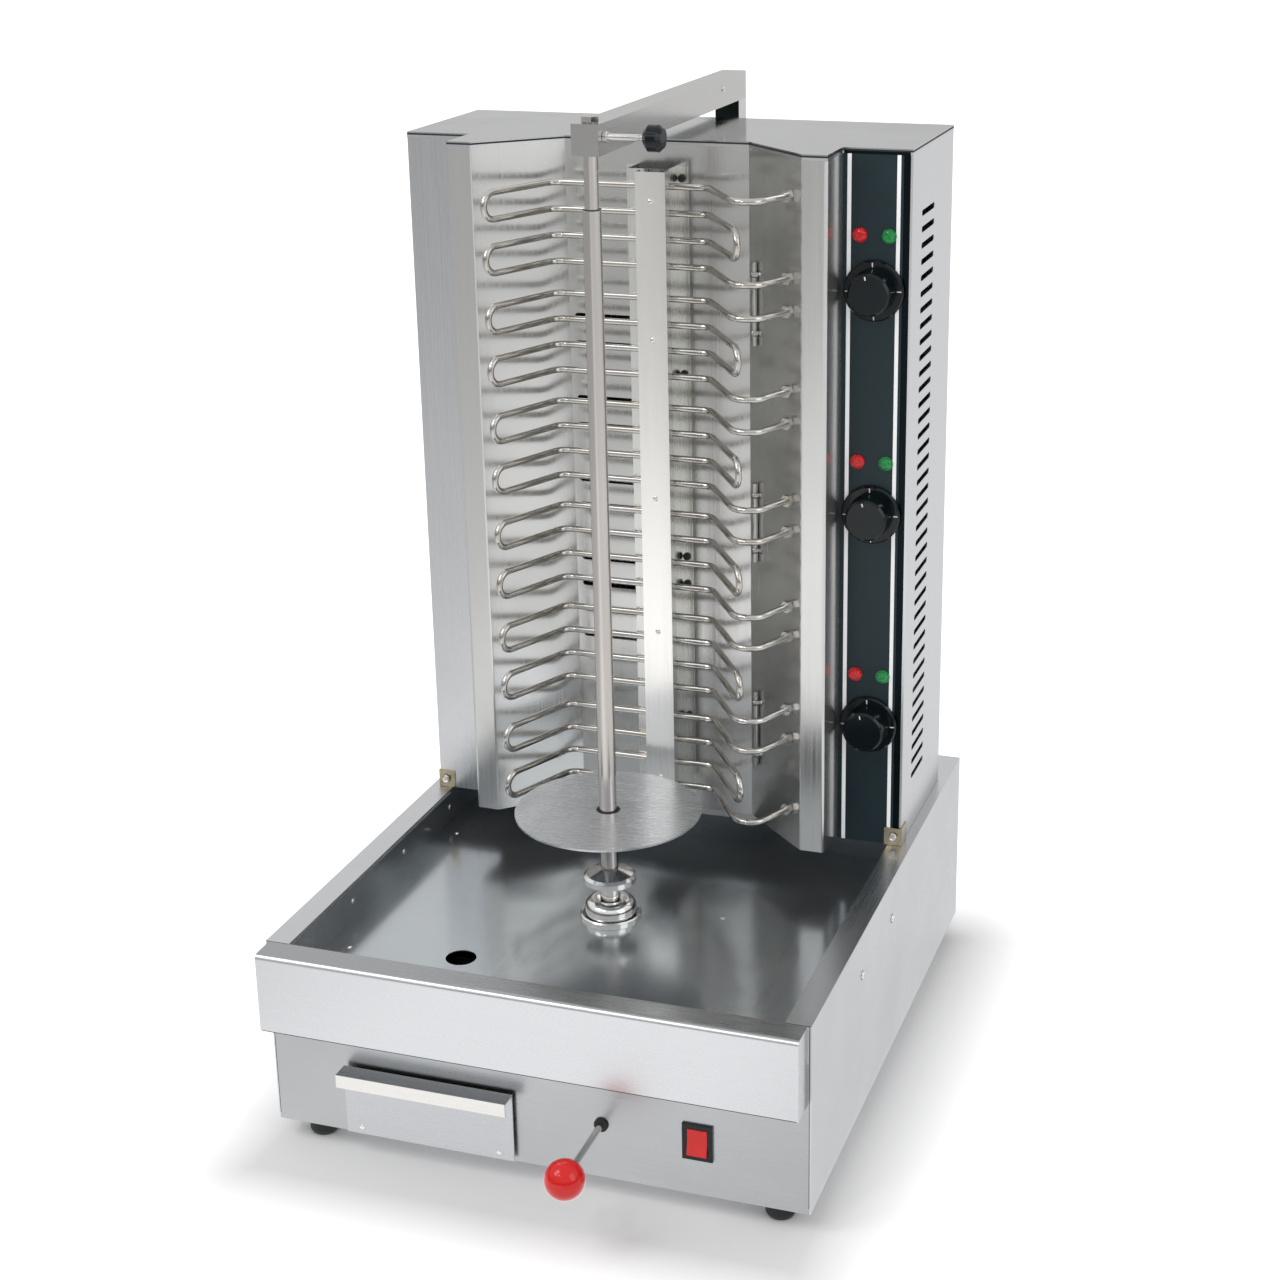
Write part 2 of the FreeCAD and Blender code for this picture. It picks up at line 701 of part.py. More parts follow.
def make_switch():
    body = new_body("switch_body")
    wide = S.bezel_width - S.switch_edge * 2
    tall = S.bezel_height - S.switch_edge * 2
    pad(body, "XZ", 0, S.switch_depth, rectangle(-wide / 2, -tall / 2, wide, tall))
    pad(body, "XZ", -S.bezel_face, S.bezel_face,
        rectangle(-S.bezel_width / 2, -S.bezel_height / 2, S.bezel_width, S.bezel_height))
    room = S.rocker_radius + S.slide_gap
    across = S.rocker_width / 2 + S.slide_gap
    pivot = S.rocker_pivot - S.bezel_face
    pocket(body, "XZ", -S.bezel_face, S.rocker_pivot + room,
           rectangle(-across, -room, across * 2, room * 2))
    pocket(body, "YZ", -across - S.rocker_pin, (across + S.rocker_pin) * 2,
           ("circle", pivot, 0, S.rocker_pin + S.running_fit))
    subpart("switch_body", body, switch_x, 0, S.switch_z)

    body = new_body("switch_rocker")
    pad(body, "YZ", -S.rocker_width / 2, S.rocker_width, ("circle", 0, 0, S.rocker_radius))
    pins = S.rocker_width / 2 + S.slide_gap + S.rocker_pin - S.running_fit
    pad(body, "YZ", -pins, pins * 2, ("circle", 0, 0, S.rocker_pin))
    face = -S.rocker_pivot - S.slide_gap
    reach = S.rocker_radius + 1
    lean = reach * sine(S.rocker_tilt) / cosine(S.rocker_tilt)
    pocket(body, "YZ", -S.rocker_width / 2, S.rocker_width,
           ("polygon", [(face, reach), (face, 0), (face - lean, -reach),
                        (-reach * 2, -reach), (-reach * 2, reach)]))
    subpart("switch_rocker", body, switch_x, pivot, S.switch_z)


def make_lever():
    bore = S.rod_radius + S.running_fit
    outer = S.grommet_radius
    neck = outer - 1
    outline = [(bore, S.grommet_face), (neck, S.grommet_face), (outer, S.grommet_face - 1),
               (outer, 0), (neck, 0), (neck, -S.sheet), (outer, -S.sheet), (outer, -S.sheet - 2),
               (bore, -S.sheet - 2)]
    subpart("lever_grommet", lathe("lever_grommet", outline), lever_x, 0, S.lever_z, FACING)

    end = S.ball_radius / 3
    length = S.ball_reach + end + S.bracket_y + S.bracket_sheet + end
    outline = [(0, 0), (S.rod_radius, 0), (S.rod_radius, length), (0, length)]
    subpart("lever_rod", lathe("lever_rod", outline), lever_x, S.bracket_y + S.bracket_sheet
            + end, S.lever_z, FACING)

    ball = doc.addObject("Part::Sphere", "Ball")
    bind(ball, "Radius", S.ball_radius)
    hole = cylinder(0, -end, 0, S.rod_radius, S.ball_radius + end, "Y")
    subpart("lever_ball", cut(ball, hole), lever_x, -S.ball_reach, S.lever_z)

    body = new_body("lever_bracket")
    line = [(S.bracket_y, S.lever_z - S.bracket_drop), (S.bracket_y, housing_floor),
            (S.bracket_y + S.bracket_flange, housing_floor)]
    pad(body, "YZ", lever_x - S.bracket_width / 2, S.bracket_width,
        folded(line, -S.bracket_sheet))
    pocket(body, "XZ", S.bracket_y, S.bracket_sheet,
           ("circle", lever_x, S.lever_z, S.rod_radius))
    subpart("lever_bracket", body)


def make_drive():
    web = under_tray - S.hanger_depth
    side = S.hanger_width / 2
    body = new_body("motor_bracket")
    line = [(-side - S.hanger_foot, under_tray), (-side, under_tray), (-side, web),
            (side, web), (side, under_tray), (side + S.hanger_foot, under_tray)]
    pad(body, "XZ", S.spit_y - S.gearbox_length / 2, S.gearbox_length,
        folded(line, -S.hanger_sheet))
    pocket(body, "XY", web - S.hanger_sheet, S.hanger_sheet,
           ("circle", 0, S.spit_y, S.shaft_radius + 1))
    subpart("motor_bracket", body)

    top = web - S.hanger_sheet
    body = new_body("gear_motor")
    pad(body, "XY", top - S.gearbox_height, S.gearbox_height,
        rectangle(-S.gearbox_width / 2, -S.gearbox_length / 2, S.gearbox_width,
                  S.gearbox_length))
    pad(body, "XY", top - S.gearbox_height - S.motor_height, S.motor_height,
        ("circle", 0, 0, S.motor_radius))
    pocket(body, "XY", top - S.shaft_depth, S.shaft_depth,
           ("circle", 0, 0, S.shaft_radius + S.running_fit))
    subpart("gear_motor", body, 0, S.spit_y, 0)

    inner = S.hub_radius + S.hub_gap
    rise = tray_z + S.ring_height
    outline = [(inner, tray_z), (S.ring_radius, tray_z), (S.ring_radius, rise - 1),
               (S.ring_radius - 1, rise), (inner + 1, rise), (inner, rise - 1)]
    subpart("hub_ring", lathe("hub_ring", outline), 0, S.spit_y, 0)


def make_spit():
    low = under_tray - S.hanger_depth - S.hanger_sheet - S.shaft_depth + S.slide_gap
    hub_top = tray_z + S.hub_rise
    seat = hub_top - S.hub_recess
    radius = S.shaft_radius
    outline = [(0, low), (radius, low), (radius, seat), (0, seat)]
    subpart("drive_shaft", lathe("drive_shaft", outline), 0, S.spit_y, 0)

    body = lathe("drive_hub", [
        (radius, tray_z + S.hub_gap), (S.hub_radius, tray_z + S.hub_gap), (S.hub_radius, hub_top),
        (S.neck_radius + 4, hub_top), (S.neck_radius + 2, seat), (radius, seat)])
    round_edges(body, S.hub_rise / 2, circle_at(S.hub_radius, hub_top))
    subpart("drive_hub", body, 0, S.spit_y, 0)

    top = S.collar_z + S.collar_height
    rim = S.collar_height - S.collar_cone
    socket = S.collar_z + S.collar_height / 5
    body = lathe("spit_collar", [
        (0, seat), (S.neck_radius, seat), (S.neck_radius, S.collar_z),
        (S.collar_radius - rim / 2, S.collar_z), (S.collar_radius, S.collar_z + rim / 4),
        (S.collar_radius, S.collar_z + rim * 3 / 4), (S.collar_radius - rim / 4, S.collar_z + rim),
        (S.spindle_radius, top), (S.spindle_radius, socket), (0, socket)])
    subpart("spit_collar", body, 0, S.spit_y, 0)

    bore = S.pin_radius + S.running_fit
    outline = [(bore, socket), (S.spindle_radius, socket),
               (S.spindle_radius, S.spindle_top - 1), (S.spindle_radius - 1, S.spindle_top),
               (bore, S.spindle_top)]
    subpart("spindle", lathe("spindle", outline), 0, S.spit_y, 0)

    under = S.disc_z - S.disc_sheet
    boss = S.disc_z - S.disc_boss_height
    outline = [(S.spindle_radius, boss), (S.disc_boss, boss), (S.disc_boss, under),
               (S.disc_radius, under), (S.disc_radius, S.disc_z), (S.disc_hole, S.disc_z),
               (S.disc_hole, under - 1), (S.spindle_radius, under - 1)]
    subpart("meat_disc", lathe("meat_disc", outline), 0, S.spit_y, 0)


def make_arm():
    rear = S.base_depth + S.post_depth
    wall = S.arm_wall
    body = new_body("arm_post")
    pad(body, "XY", S.post_z, S.arm_z - S.post_z,
        rectangle(-S.arm_width / 2, S.base_depth, S.arm_width, S.post_depth))
    pocket(body, "XY", S.post_z, S.arm_z - S.post_z,
           rectangle(wall - S.arm_width / 2, S.base_depth + wall, S.arm_width - wall * 2,
                     S.post_depth - wall * 2))
    subpart("arm_post", body)

    body = new_body("spit_arm")
    pad(body, "XZ", S.arm_front, rear - S.arm_front,
        rectangle(-S.arm_width / 2, S.arm_z, S.arm_width, S.arm_height))
    pocket(body, "XZ", S.arm_front + S.arm_block, rear - S.arm_front - S.arm_block - wall,
           rectangle(wall - S.arm_width / 2, S.arm_z + wall, S.arm_width - wall * 2,
                     S.arm_height - wall * 2))
    pocket(body, "XY", S.arm_z, S.arm_height,
           ("circle", 0, S.spit_y, S.pin_radius + S.running_fit))
    pocket(body, "YZ", 0, S.arm_width / 2,
           ("circle", S.spit_y, S.clamp_z, S.clamp_radius + S.running_fit))
    subpart("spit_arm", body)

    low = S.spindle_top - S.pin_engagement
    high = S.arm_z + S.arm_height + S.slide_gap
    body = lathe("top_pin", [(0, low), (S.pin_radius - 1, low), (S.pin_radius, low + 1),
                             (S.pin_radius, high), (0, high)])
    corners = [(S.pin_head_radius * round(math.cos(k * math.pi / 3), 9),
                S.pin_head_radius * round(math.sin(k * math.pi / 3), 9)) for k in range(6)]
    pad(body, "XY", high, S.pin_head_height, ("polygon", corners))
    subpart("top_pin", body, 0, S.spit_y, 0)

    tip = S.pin_radius + S.slide_gap
    nut = S.arm_width / 2 + S.slide_gap
    knob = S.clamp_knob_x - S.clamp_knob_length / 2
    end = S.clamp_knob_x + S.clamp_knob_length / 4
    radius = S.clamp_radius
    outline = [(0, tip), (radius, tip), (radius, nut), (S.clamp_nut_radius, nut),
               (S.clamp_nut_radius, nut + S.clamp_nut_length), (radius, nut + S.clamp_nut_length),
               (radius, end), (0, end)]
    subpart("clamp_screw", lathe("clamp_screw", outline), 0, S.spit_y, S.clamp_z, AXES["X"])
    far = knob + S.clamp_knob_length
    body = lathe("clamp_knob", [
        (radius, knob), (S.clamp_knob_radius * 0.6, knob), (S.clamp_knob_radius, knob + 4),
        (S.clamp_knob_radius, far - 4), (S.clamp_knob_radius * 0.7, far), (0, far), (0, end),
        (radius, end)])
    subpart("clamp_knob", body, 0, S.spit_y, S.clamp_z, AXES["X"])


def make_housing():
    tall = lid_underside - housing_floor
    rear = S.housing_rear - S.sheet
    stops = ((-1, "housing_side_left", S.housing_front),
             (1, "housing_side_right", S.housing_front + S.panel_sheet))
    for side, name, face in stops:
        body = new_body(name)
        line = [(column_outer * side, face), (housing_half * side, face),
                (housing_half * side, rear), ((housing_half - S.housing_fold) * side, rear)]
        pad(body, "XY", housing_floor, tall, folded(line, S.sheet * side))
        if side > 0:
            make_panel_holes(body, face, S.sheet)
            vent = pocket(body, "YZ", housing_half - S.sheet, S.sheet,
                          ("slot", S.vent_front, S.vent_rear, S.vent_top, S.vent_height))
            repeat(body, vent, "Z", True, S.vent_spacing, S.vent_count)
        subpart(name, body)

    body = new_body("housing_rear_panel")
    pad(body, "XZ", rear, S.sheet, rectangle(-housing_half, housing_floor, housing_half * 2, tall))
    subpart("housing_rear_panel", body)

    body = new_body("housing_floor")
    across = housing_half - S.sheet
    front = S.shield_back + S.sheet
    line = [(front, S.shield_bottom + S.housing_fold), (front, housing_floor),
            (rear - S.sheet, housing_floor)]
    pad(body, "YZ", -across, across * 2, folded(line, S.sheet))
    subpart("housing_floor", body)

    body = new_body("housing_lid")
    right = [(recess_half, S.shield_back), (column_inner, S.column_front),
             (column_outer, S.column_front), (column_outer, S.housing_front),
             (housing_half, S.housing_front), (housing_half, S.housing_rear)]
    outline = right + [(-x, y) for x, y in right[::-1]]
    pad(body, "XY", lid_underside, S.sheet, ("polygon", outline))
    subpart("housing_lid", body)

    for side, name in ((-1, "housing_shoe_left"), (1, "housing_shoe_right")):
        face = S.housing_front - S.sheet
        outer = (housing_half + S.sheet) * side
        line = [(outer - S.shoe_width * side, face), (outer, face), (outer, face + S.shoe_wing)]
        body = new_body(name)
        pad(body, "XY", housing_floor, S.shoe_height, folded(line, S.sheet * side))
        subpart(name, body)


def zones():
    """Knob heights, the lowest first."""
    lowest = S.knob_high - S.knob_spacing * (S.knob_count - 1)
    count = int(S.knob_count.value)
    return [lowest + S.knob_spacing * i for i in range(count)]


def make_panel_holes(body, face, depth):
    """Holes for the knob shafts and the pilot lights."""
    loops = []
    for z in zones():
        loops.append(("circle", knob_x, z, S.knob_shaft + 1))
        for beside in (S.light_left, S.light_right):
            loops.append(("circle", knob_x + beside, z + S.light_rise, S.light_stem))
    pocket(body, "XZ", face, depth, *loops)


def make_panel():
    body = new_body("control_panel")
    pad(body, "XZ", S.housing_front, S.panel_sheet,
        rectangle(column_outer, housing_floor, panel_right - column_outer,
                  lid_underside - housing_floor))
    make_panel_holes(body, S.housing_front, S.panel_sheet)
    subpart("control_panel", body)

    heights = zones()
    behind = S.panel_sheet + S.sheet
    for i, z in enumerate(heights):
        deep = -behind - S.knob_gap - S.knob_shaft_length
        top = S.skirt_height + S.cap_height
        body = lathe("knob_%d" % (i + 1), [
            (0, deep), (S.knob_shaft, deep), (S.knob_shaft, 0), (S.skirt_radius, 0),
            (S.skirt_radius, S.skirt_height / 2), (S.skirt_radius - 1.5, S.skirt_height),
            (S.cap_radius, S.skirt_height), (S.cap_radius - S.cap_taper, top - S.cap_edge),
            (S.cap_radius - S.cap_taper - S.cap_edge, top), (0, top)])
        subpart("knob_%d" % (i + 1), body, knob_x, S.housing_front - S.knob_gap, z, FACING)

    for name, beside in (("pilot_lights_red", S.light_left), ("pilot_lights_green", S.light_right)):
        body = lathe(name, [
            (0, -behind - S.light_stem), (S.light_stem, -behind - S.light_stem), (S.light_stem, 0),
            (S.light_radius, 0), (S.light_radius, S.light_height / 2),
            (S.light_radius - 2, S.light_height), (0, S.light_height)])
        body.AllowCompound = True
        doc.recompute()
        repeat(body, body.Tip, "Y", False, S.knob_spacing, S.knob_count)
        subpart(name, body, knob_x + beside, S.housing_front, heights[0] + S.light_rise, FACING)

    blocks = []
    for z in heights:
        back = S.housing_front + behind
        block = box(knob_x - S.thermostat_size / 2, back, z - S.thermostat_size / 2,
                    S.thermostat_size, S.thermostat_depth, S.thermostat_size)
        bore = cylinder(knob_x, back, z, S.knob_shaft + S.running_fit,
                        S.knob_shaft_length + S.bore_end, "Y")
        blocks.append(cut(block, bore))
    subpart("thermostats", fuse(*blocks))


def tube_edges(points, bends):
    """Straight runs through the points, joined by tangent arcs of the given radii."""
    edges = []
    start = points[0]
    for i in range(1, len(points) - 1):
        before = (points[i] - points[i - 1]).normalize()
        after = (points[i + 1] - points[i]).normalize()
        turn = before.getAngle(after)
        back = bends[i - 1] * math.tan(turn / 2)
        first = points[i] - before * back
        last = points[i] + after * back
        inward = (after - before).normalize()
        centre = points[i] + inward * (bends[i - 1] / math.cos(turn / 2))
        edges.append(Part.LineSegment(start, first).toShape())
        edges.append(Part.Arc(first, centre - inward * bends[i - 1], last).toShape())
        start = last
    edges.append(Part.LineSegment(start, points[-1]).toShape())
    return edges


def heading(angle):
    return V(math.cos(math.radians(angle)), -math.sin(math.radians(angle)), 0)


def element_wire(top):
    """Four level runs, bent towards the front at both sides and joined by half-round loops."""
    pitch = S.run_spacing.value
    levels = [top - pitch * i for i in range(4)]
    radius = pitch / 2
    left = V(bend_left.value, S.tube_y.value, 0)
    right = V(bend_right.value, S.tube_y.value, 0)
    left_way = heading(S.left_angle.value)
    right_way = heading(S.right_angle.value)
    left_end = left + left_way * (S.left_leg.value - radius)
    right_end = right + right_way * (S.right_leg.value - radius)
    corner = right + right_way * S.terminal_leg.value
    tail = terminal_tail(corner)
    bend = S.tube_bend.value

    def at(point, z):
        return V(point.x, point.y, z)

    def loop(end, way, upper):
        middle = at(end + way * radius, levels[upper] - radius)
        return Part.Arc(at(end, levels[upper]), middle, at(end, levels[upper + 1])).toShape()

    edges = tube_edges([at(tail, levels[0]), at(corner, levels[0]), at(right, levels[0]),
                        at(left, levels[0]), at(left_end, levels[0])],
                       [S.terminal_bend.value, bend, bend])
    edges.append(loop(left_end, left_way, 0))
    edges += tube_edges([at(left_end, levels[1]), at(left, levels[1]), at(right, levels[1]),
                         at(right_end, levels[1])], [bend, bend])
    edges.append(loop(right_end, right_way, 1))
    edges += tube_edges([at(right_end, levels[2]), at(right, levels[2]), at(left, levels[2]),
                         at(left_end, levels[2])], [bend, bend])
    edges.append(loop(left_end, left_way, 2))
    edges += tube_edges([at(left_end, levels[3]), at(left, levels[3]), at(right, levels[3]),
                         at(corner, levels[3]), at(tail, levels[3])],
                        [bend, bend, S.terminal_bend.value])
    return Part.Wire(edges)


def wall_point(corner):
    """Where a terminal, heading back from its corner, meets the face of the right angled wall."""
    way = V(math.cos(math.radians(S.terminal_angle.value)),
            math.sin(math.radians(S.terminal_angle.value)), 0)
    angle = math.radians(S.wall_angle.value)
    normal = V(math.sin(angle), math.cos(angle), 0)
    foot = V(column_inner.value, S.column_front.value, 0)
    reach = (foot - corner).dot(normal) / way.dot(normal)
    return corner + way * reach, way, normal


def terminal_tail(corner):
    point, way, _ = wall_point(corner)
    return point + way * S.terminal_tail.value


def terminal_corner():
    right = V(bend_right.value, S.tube_y.value, 0)
    return right + heading(S.right_angle.value) * S.terminal_leg.value


def hexagon(centre, way, radius, length):
    """A nut round a tube: six sides, square to the tube."""
    side = way.cross(V(0, 0, 1))
    corners = []
    for k in range(7):
        angle = math.radians(60 * k)
        corners.append(centre + side * (radius * math.cos(angle))
                       + V(0, 0, radius * math.sin(angle)))
    return Part.Face(Part.makePolygon(corners)).extrude(way * length)


def make_elements():
    point, way, normal = wall_point(terminal_corner())
    radius = S.tube_radius.value
    nut_radius = S.nut_radius.value
    lean = way.getAngle(normal)
    nut_back = nut_radius * math.tan(lean)
    holes = []
    for i in range(int(S.element_count.value)):
        top = S.tube_top.value - S.element_spacing.value * i
        wire = element_wire(top)
        start = wire.Edges[0].valueAt(wire.Edges[0].FirstParameter)
        section = Part.Wire(Part.Circle(start, way, radius).toShape())
        tube = wire.makePipeShell([section], True, False)
        nuts = []
        for level in (top, top - S.run_spacing.value * 3):
            seat = V(point.x, point.y, level) - way * (nut_back + S.nut_length.value)
            nuts.append(hexagon(seat, way, nut_radius, S.nut_length.value))
            holes.append(V(point.x, point.y, level))
        shape = tube.fuse(nuts).removeSplitter()
        element = doc.addObject("Part::Feature", "Element")
        element.Shape = shape
        subpart("heating_element_%d" % (i + 1), element)
    return holes, way


def make_shield(holes, way):
    body = new_body("Shield")
    run = S.housing_front + S.column_return
    line = [(-column_outer, run), (-column_outer, S.column_front),
            (-column_inner, S.column_front), (-recess_half, S.shield_back),
            (recess_half, S.shield_back), (column_inner, S.column_front),
            (column_outer, S.column_front), (column_outer, run)]
    slope = cosine(S.wall_angle), sine(S.wall_angle)
    ways = {2: slope, 4: (slope[0], -slope[1])}
    pad(body, "XY", S.shield_bottom, lid_underside - S.shield_bottom,
        folded(line, S.sheet, ways))
    outer = [(x * side, S.column_front) for x in (column_outer, column_inner) for side in (-1, 1)]
    thickness = S.sheet.value
    round_edges(body, S.bend - S.sheet, upright_near(outer, thickness, thickness * 1.5))
    round_edges(body, S.bend, upright_near(outer, 0, thickness / 2))
    slot = pocket(body, "XZ", S.shield_back, S.sheet,
                  ("slot", S.slot_margin - recess_half, S.slot_right, S.slot_top, S.slot_height))
    repeat(body, slot, "Z", True, S.slot_spacing, S.slot_count)
    drills = []
    reach = S.sheet.value * 4
    for middle in holes:
        drills.append(Part.makeCylinder(S.tube_radius.value + S.hole_gap.value, reach * 2,
                                        middle - way * reach, way))
    drill = doc.addObject("Part::Feature", "TerminalHoles")
    drill.Shape = Part.makeCompound(drills)
    subpart("heat_shield", cut(body, drill))


def make_bars():
    face = S.tube_y - S.tube_radius
    web = S.tube_y + S.tube_radius + S.sheet
    tall = S.bar_top - S.bar_bottom
    body = new_body("element_bar_rear")
    line = [(S.hat_left - S.hat_flange, S.shield_back), (S.hat_left, S.shield_back),
            (S.hat_left, web), (S.hat_right, web), (S.hat_right, S.shield_back),
            (S.hat_right + S.hat_flange, S.shield_back)]
    pad(body, "XY", S.bar_bottom, tall, folded(line, -S.sheet))
    subpart("element_bar_rear", body)

    body = new_body("element_bar_front")
    line = [(S.bar_left, face), (S.bar_left, face - S.bar_depth),
            (S.bar_right, face - S.bar_depth), (S.bar_right, face)]
    pad(body, "XY", S.bar_bottom, tall, folded(line, S.sheet))
    middle = (S.bar_left + S.bar_right) / 2
    pins = []
    for element, gap in ((0, 0), (1, 1), (2, 3), (4, 0), (5, 2)):
        z = S.tube_top - S.element_spacing * element - S.run_spacing * (gap + 0.5)
        pins.append(("circle", middle, z, S.tube_radius * 0.8))
    pad(body, "XZ", face - S.bar_depth + S.sheet, web - S.sheet - face + S.bar_depth - S.sheet,
        *pins)
    subpart("element_bar_front", body)

    body = lathe("thermostat_bulbs", [(0, 0), (S.bulb_radius, 0), (S.bulb_radius, S.bulb_length),
                                      (0, S.bulb_length)])
    body.AllowCompound = True
    doc.recompute()
    repeat(body, body.Tip, "Z", False, S.knob_spacing, S.knob_count)
    slope = cosine(S.wall_angle), sine(S.wall_angle)
    x = recess_half + S.bulb_wall * slope[0] - S.bulb_radius * slope[1]
    y = S.shield_back - S.bulb_wall * slope[1] - S.bulb_radius * slope[0]
    z = S.bulb_top - S.bulb_length - S.knob_spacing * (S.knob_count - 1)
    subpart("thermostat_bulbs", body, x, y, z)


def make_services():
    radius = S.gland_radius
    neck = radius - 2
    body = lathe("cable_gland", [
        (neck / 2, -S.gland_inside), (neck, -S.gland_inside), (neck, 0), (radius, 0),
        (radius, S.gland_flange), (neck - 1, S.gland_length), (neck / 2, S.gland_length)])
    subpart("cable_gland", body, gland_x, S.base_depth, S.gland_z, AXES["Y"])
    block = box(block_x, S.block_y, S.sheet, S.block_length, S.block_width,
                S.block_height)
    slit = box(block_x + 2, S.block_y + S.block_width / 2 - 1,
               S.sheet + S.block_height - 5, S.block_length - 4, 2, 5)
    subpart("terminal_block", cut(block, slit))


def check():
    """Stops unless every object is up to date and every piece is a valid solid."""
    for item in doc.Objects:
        if "Invalid" in item.State or "Error" in item.State:
            raise RuntimeError("%s (%s) failed" % (item.Name, item.Label))
        if item.isDerivedFrom("PartDesign::Pocket") and item.BaseFeature is not None:
            if item.Shape.Volume > item.BaseFeature.Shape.Volume - 0.01:
                raise RuntimeError("%s of %s cuts nothing" % (item.Name, item.getParent().Name))
    for name, thing in parts.items():
        shape = thing.Shape
        if shape.isNull() or not shape.isValid() or not shape.Solids:
            raise RuntimeError("%s has no valid solid" % name)


make_base()
make_tray()
make_drawer()
make_switch()
make_lever()
make_drive()
make_spit()
make_arm()
make_housing()
make_panel()
make_shield(*make_elements())
make_bars()
make_services()
doc.recompute()
check()
os.makedirs("parts", exist_ok=True)
for name, thing in parts.items():
    thing.Shape.exportStep("parts/%s.step" % name)
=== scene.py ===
import json
import math

import bmesh
import bpy
from mathutils import Matrix, Vector


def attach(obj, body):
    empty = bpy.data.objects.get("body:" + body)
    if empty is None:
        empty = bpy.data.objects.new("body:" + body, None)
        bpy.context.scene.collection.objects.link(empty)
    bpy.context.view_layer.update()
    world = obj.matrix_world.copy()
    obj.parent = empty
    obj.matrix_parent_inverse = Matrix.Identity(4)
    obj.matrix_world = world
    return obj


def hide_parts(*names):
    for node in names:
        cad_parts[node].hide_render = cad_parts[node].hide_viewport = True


MM = 0.001
# Millimetres in the frame: the front panel's face on Y, the base's underside on Z.
FRONT_PANEL = -256.5
BASE_UNDERSIDE = 20.0
X, Y, Z = Vector((1, 0, 0)), Vector((0, 1, 0)), Vector((0, 0, 1))

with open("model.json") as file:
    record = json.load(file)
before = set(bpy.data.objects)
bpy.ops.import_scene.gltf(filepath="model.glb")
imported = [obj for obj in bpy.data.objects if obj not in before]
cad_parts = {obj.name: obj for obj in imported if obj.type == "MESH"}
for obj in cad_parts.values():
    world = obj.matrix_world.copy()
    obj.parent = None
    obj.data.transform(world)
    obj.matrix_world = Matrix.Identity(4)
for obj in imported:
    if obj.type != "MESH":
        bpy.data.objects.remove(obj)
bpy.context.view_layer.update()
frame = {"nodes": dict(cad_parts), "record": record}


def at(x, depth, height):
    """Point in metres from millimetres: from the middle, behind the front panel, above the base."""
    return Vector((x, depth + FRONT_PANEL, height + BASE_UNDERSIDE)) * MM


# Materials


class Nodes:
    """Short ways to add to a node tree."""

    def __init__(self, tree):
        self.tree = tree

    def add(self, kind, **inputs):
        node = self.tree.nodes.new(kind)
        for key, value in inputs.items():
            node.inputs[key.replace("_", " ")].default_value = value
        return node

    def link(self, source, target):
        self.tree.links.new(source, target)

    def math(self, operation, *values):
        node = self.add("ShaderNodeMath")
        node.operation = operation
        for socket, value in zip(node.inputs, values):
            if isinstance(value, (int, float)):
                socket.default_value = value
            else:
                self.link(value, socket)
        return node.outputs["Value"]

    def spread(self, value, low, high, start=0.3, end=0.7, smooth=False):
        """Maps start to end onto low to high; most of a noise lies between 0.3 and 0.7."""
        node = self.add("ShaderNodeMapRange", From_Min=start, From_Max=end, To_Min=low, To_Max=high)
        if smooth:
            node.interpolation_type = "SMOOTHSTEP"
        self.link(value, node.inputs["Value"])
        return node.outputs["Result"]

    def axes(self, vector):
        node = self.add("ShaderNodeSeparateXYZ")
        self.link(vector, node.inputs["Vector"])
        return node.outputs


class Finish(Nodes):
    """A new material, with short ways to reach its shader."""

    def __init__(self, name, **inputs):
        self.material = bpy.data.materials.new(name)
        self.material.use_nodes = True
        super().__init__(self.material.node_tree)
        self.shader = self.tree.nodes["Principled BSDF"]
        self.place = self.add("ShaderNodeTexCoord").outputs["Object"]
        for key, value in inputs.items():
            self.shader.inputs[key.replace("_", " ")].default_value = value

    def noise(self, scale, detail=3.0, rough=0.55):
        """Noise with a scale per axis, or one scale for all."""
        if isinstance(scale, (int, float)):
            scale = (scale, scale, scale)
        mapping = self.add("ShaderNodeMapping", Scale=scale)
        self.link(self.place, mapping.inputs["Vector"])
        node = self.add("ShaderNodeTexNoise", Scale=1.0, Detail=detail, Roughness=rough)
        self.link(mapping.outputs["Vector"], node.inputs["Vector"])
        return node.outputs["Fac"]

    def mixed(self, factor, first, second):
        node = self.add("ShaderNodeMix")
        node.data_type = "RGBA"
        self.link(factor, node.inputs["Factor"])
        colour_inputs = [socket for socket in node.inputs if socket.type == "RGBA"]
        for socket, value in zip(colour_inputs, (first, second)):
            if isinstance(value, tuple):
                socket.default_value = (*value, 1)
            else:
                self.link(value, socket)
        return next(socket for socket in node.outputs if socket.type == "RGBA")

    def colour(self, source):
        self.link(source, self.shader.inputs["Base Color"])

    def roughness(self, source):
        self.link(source, self.shader.inputs["Roughness"])

    def glow(self, strength):
        self.shader.inputs["Emission Color"].default_value = (1, 1, 1, 1)
        self.link(strength, self.shader.inputs["Emission Strength"])

    def bump(self, height, strength, distance):
        node = self.add("ShaderNodeBump", Strength=strength, Distance=distance)
        self.link(height, node.inputs["Height"])
        self.link(node.outputs["Normal"], self.shader.inputs["Normal"])


def tint(colour, factor):
    return tuple(min(c * factor, 1.0) for c in colour)


# Noise scale per axis: long lines along the brushing, or a fine even grain.
GRAIN = {"x": (9, 1300, 1300), "y": (1300, 9, 1300), "z": (1300, 1300, 9),
         "fine": (2400, 2400, 2400)}


def brushed(f, colour, rough, grain, streak, bump):
    """Brushing lines in colour and relief; gives the streaked colour and the grained roughness."""
    lines = f.noise(GRAIN[grain], 4.0, 0.65)
    f.bump(lines, bump, 0.00025)
    streaks = f.mixed(f.spread(lines, 0, 1), tint(colour, 1 - streak), tint(colour, 1 + streak))
    return streaks, f.spread(lines, rough - 0.05, rough + 0.07)


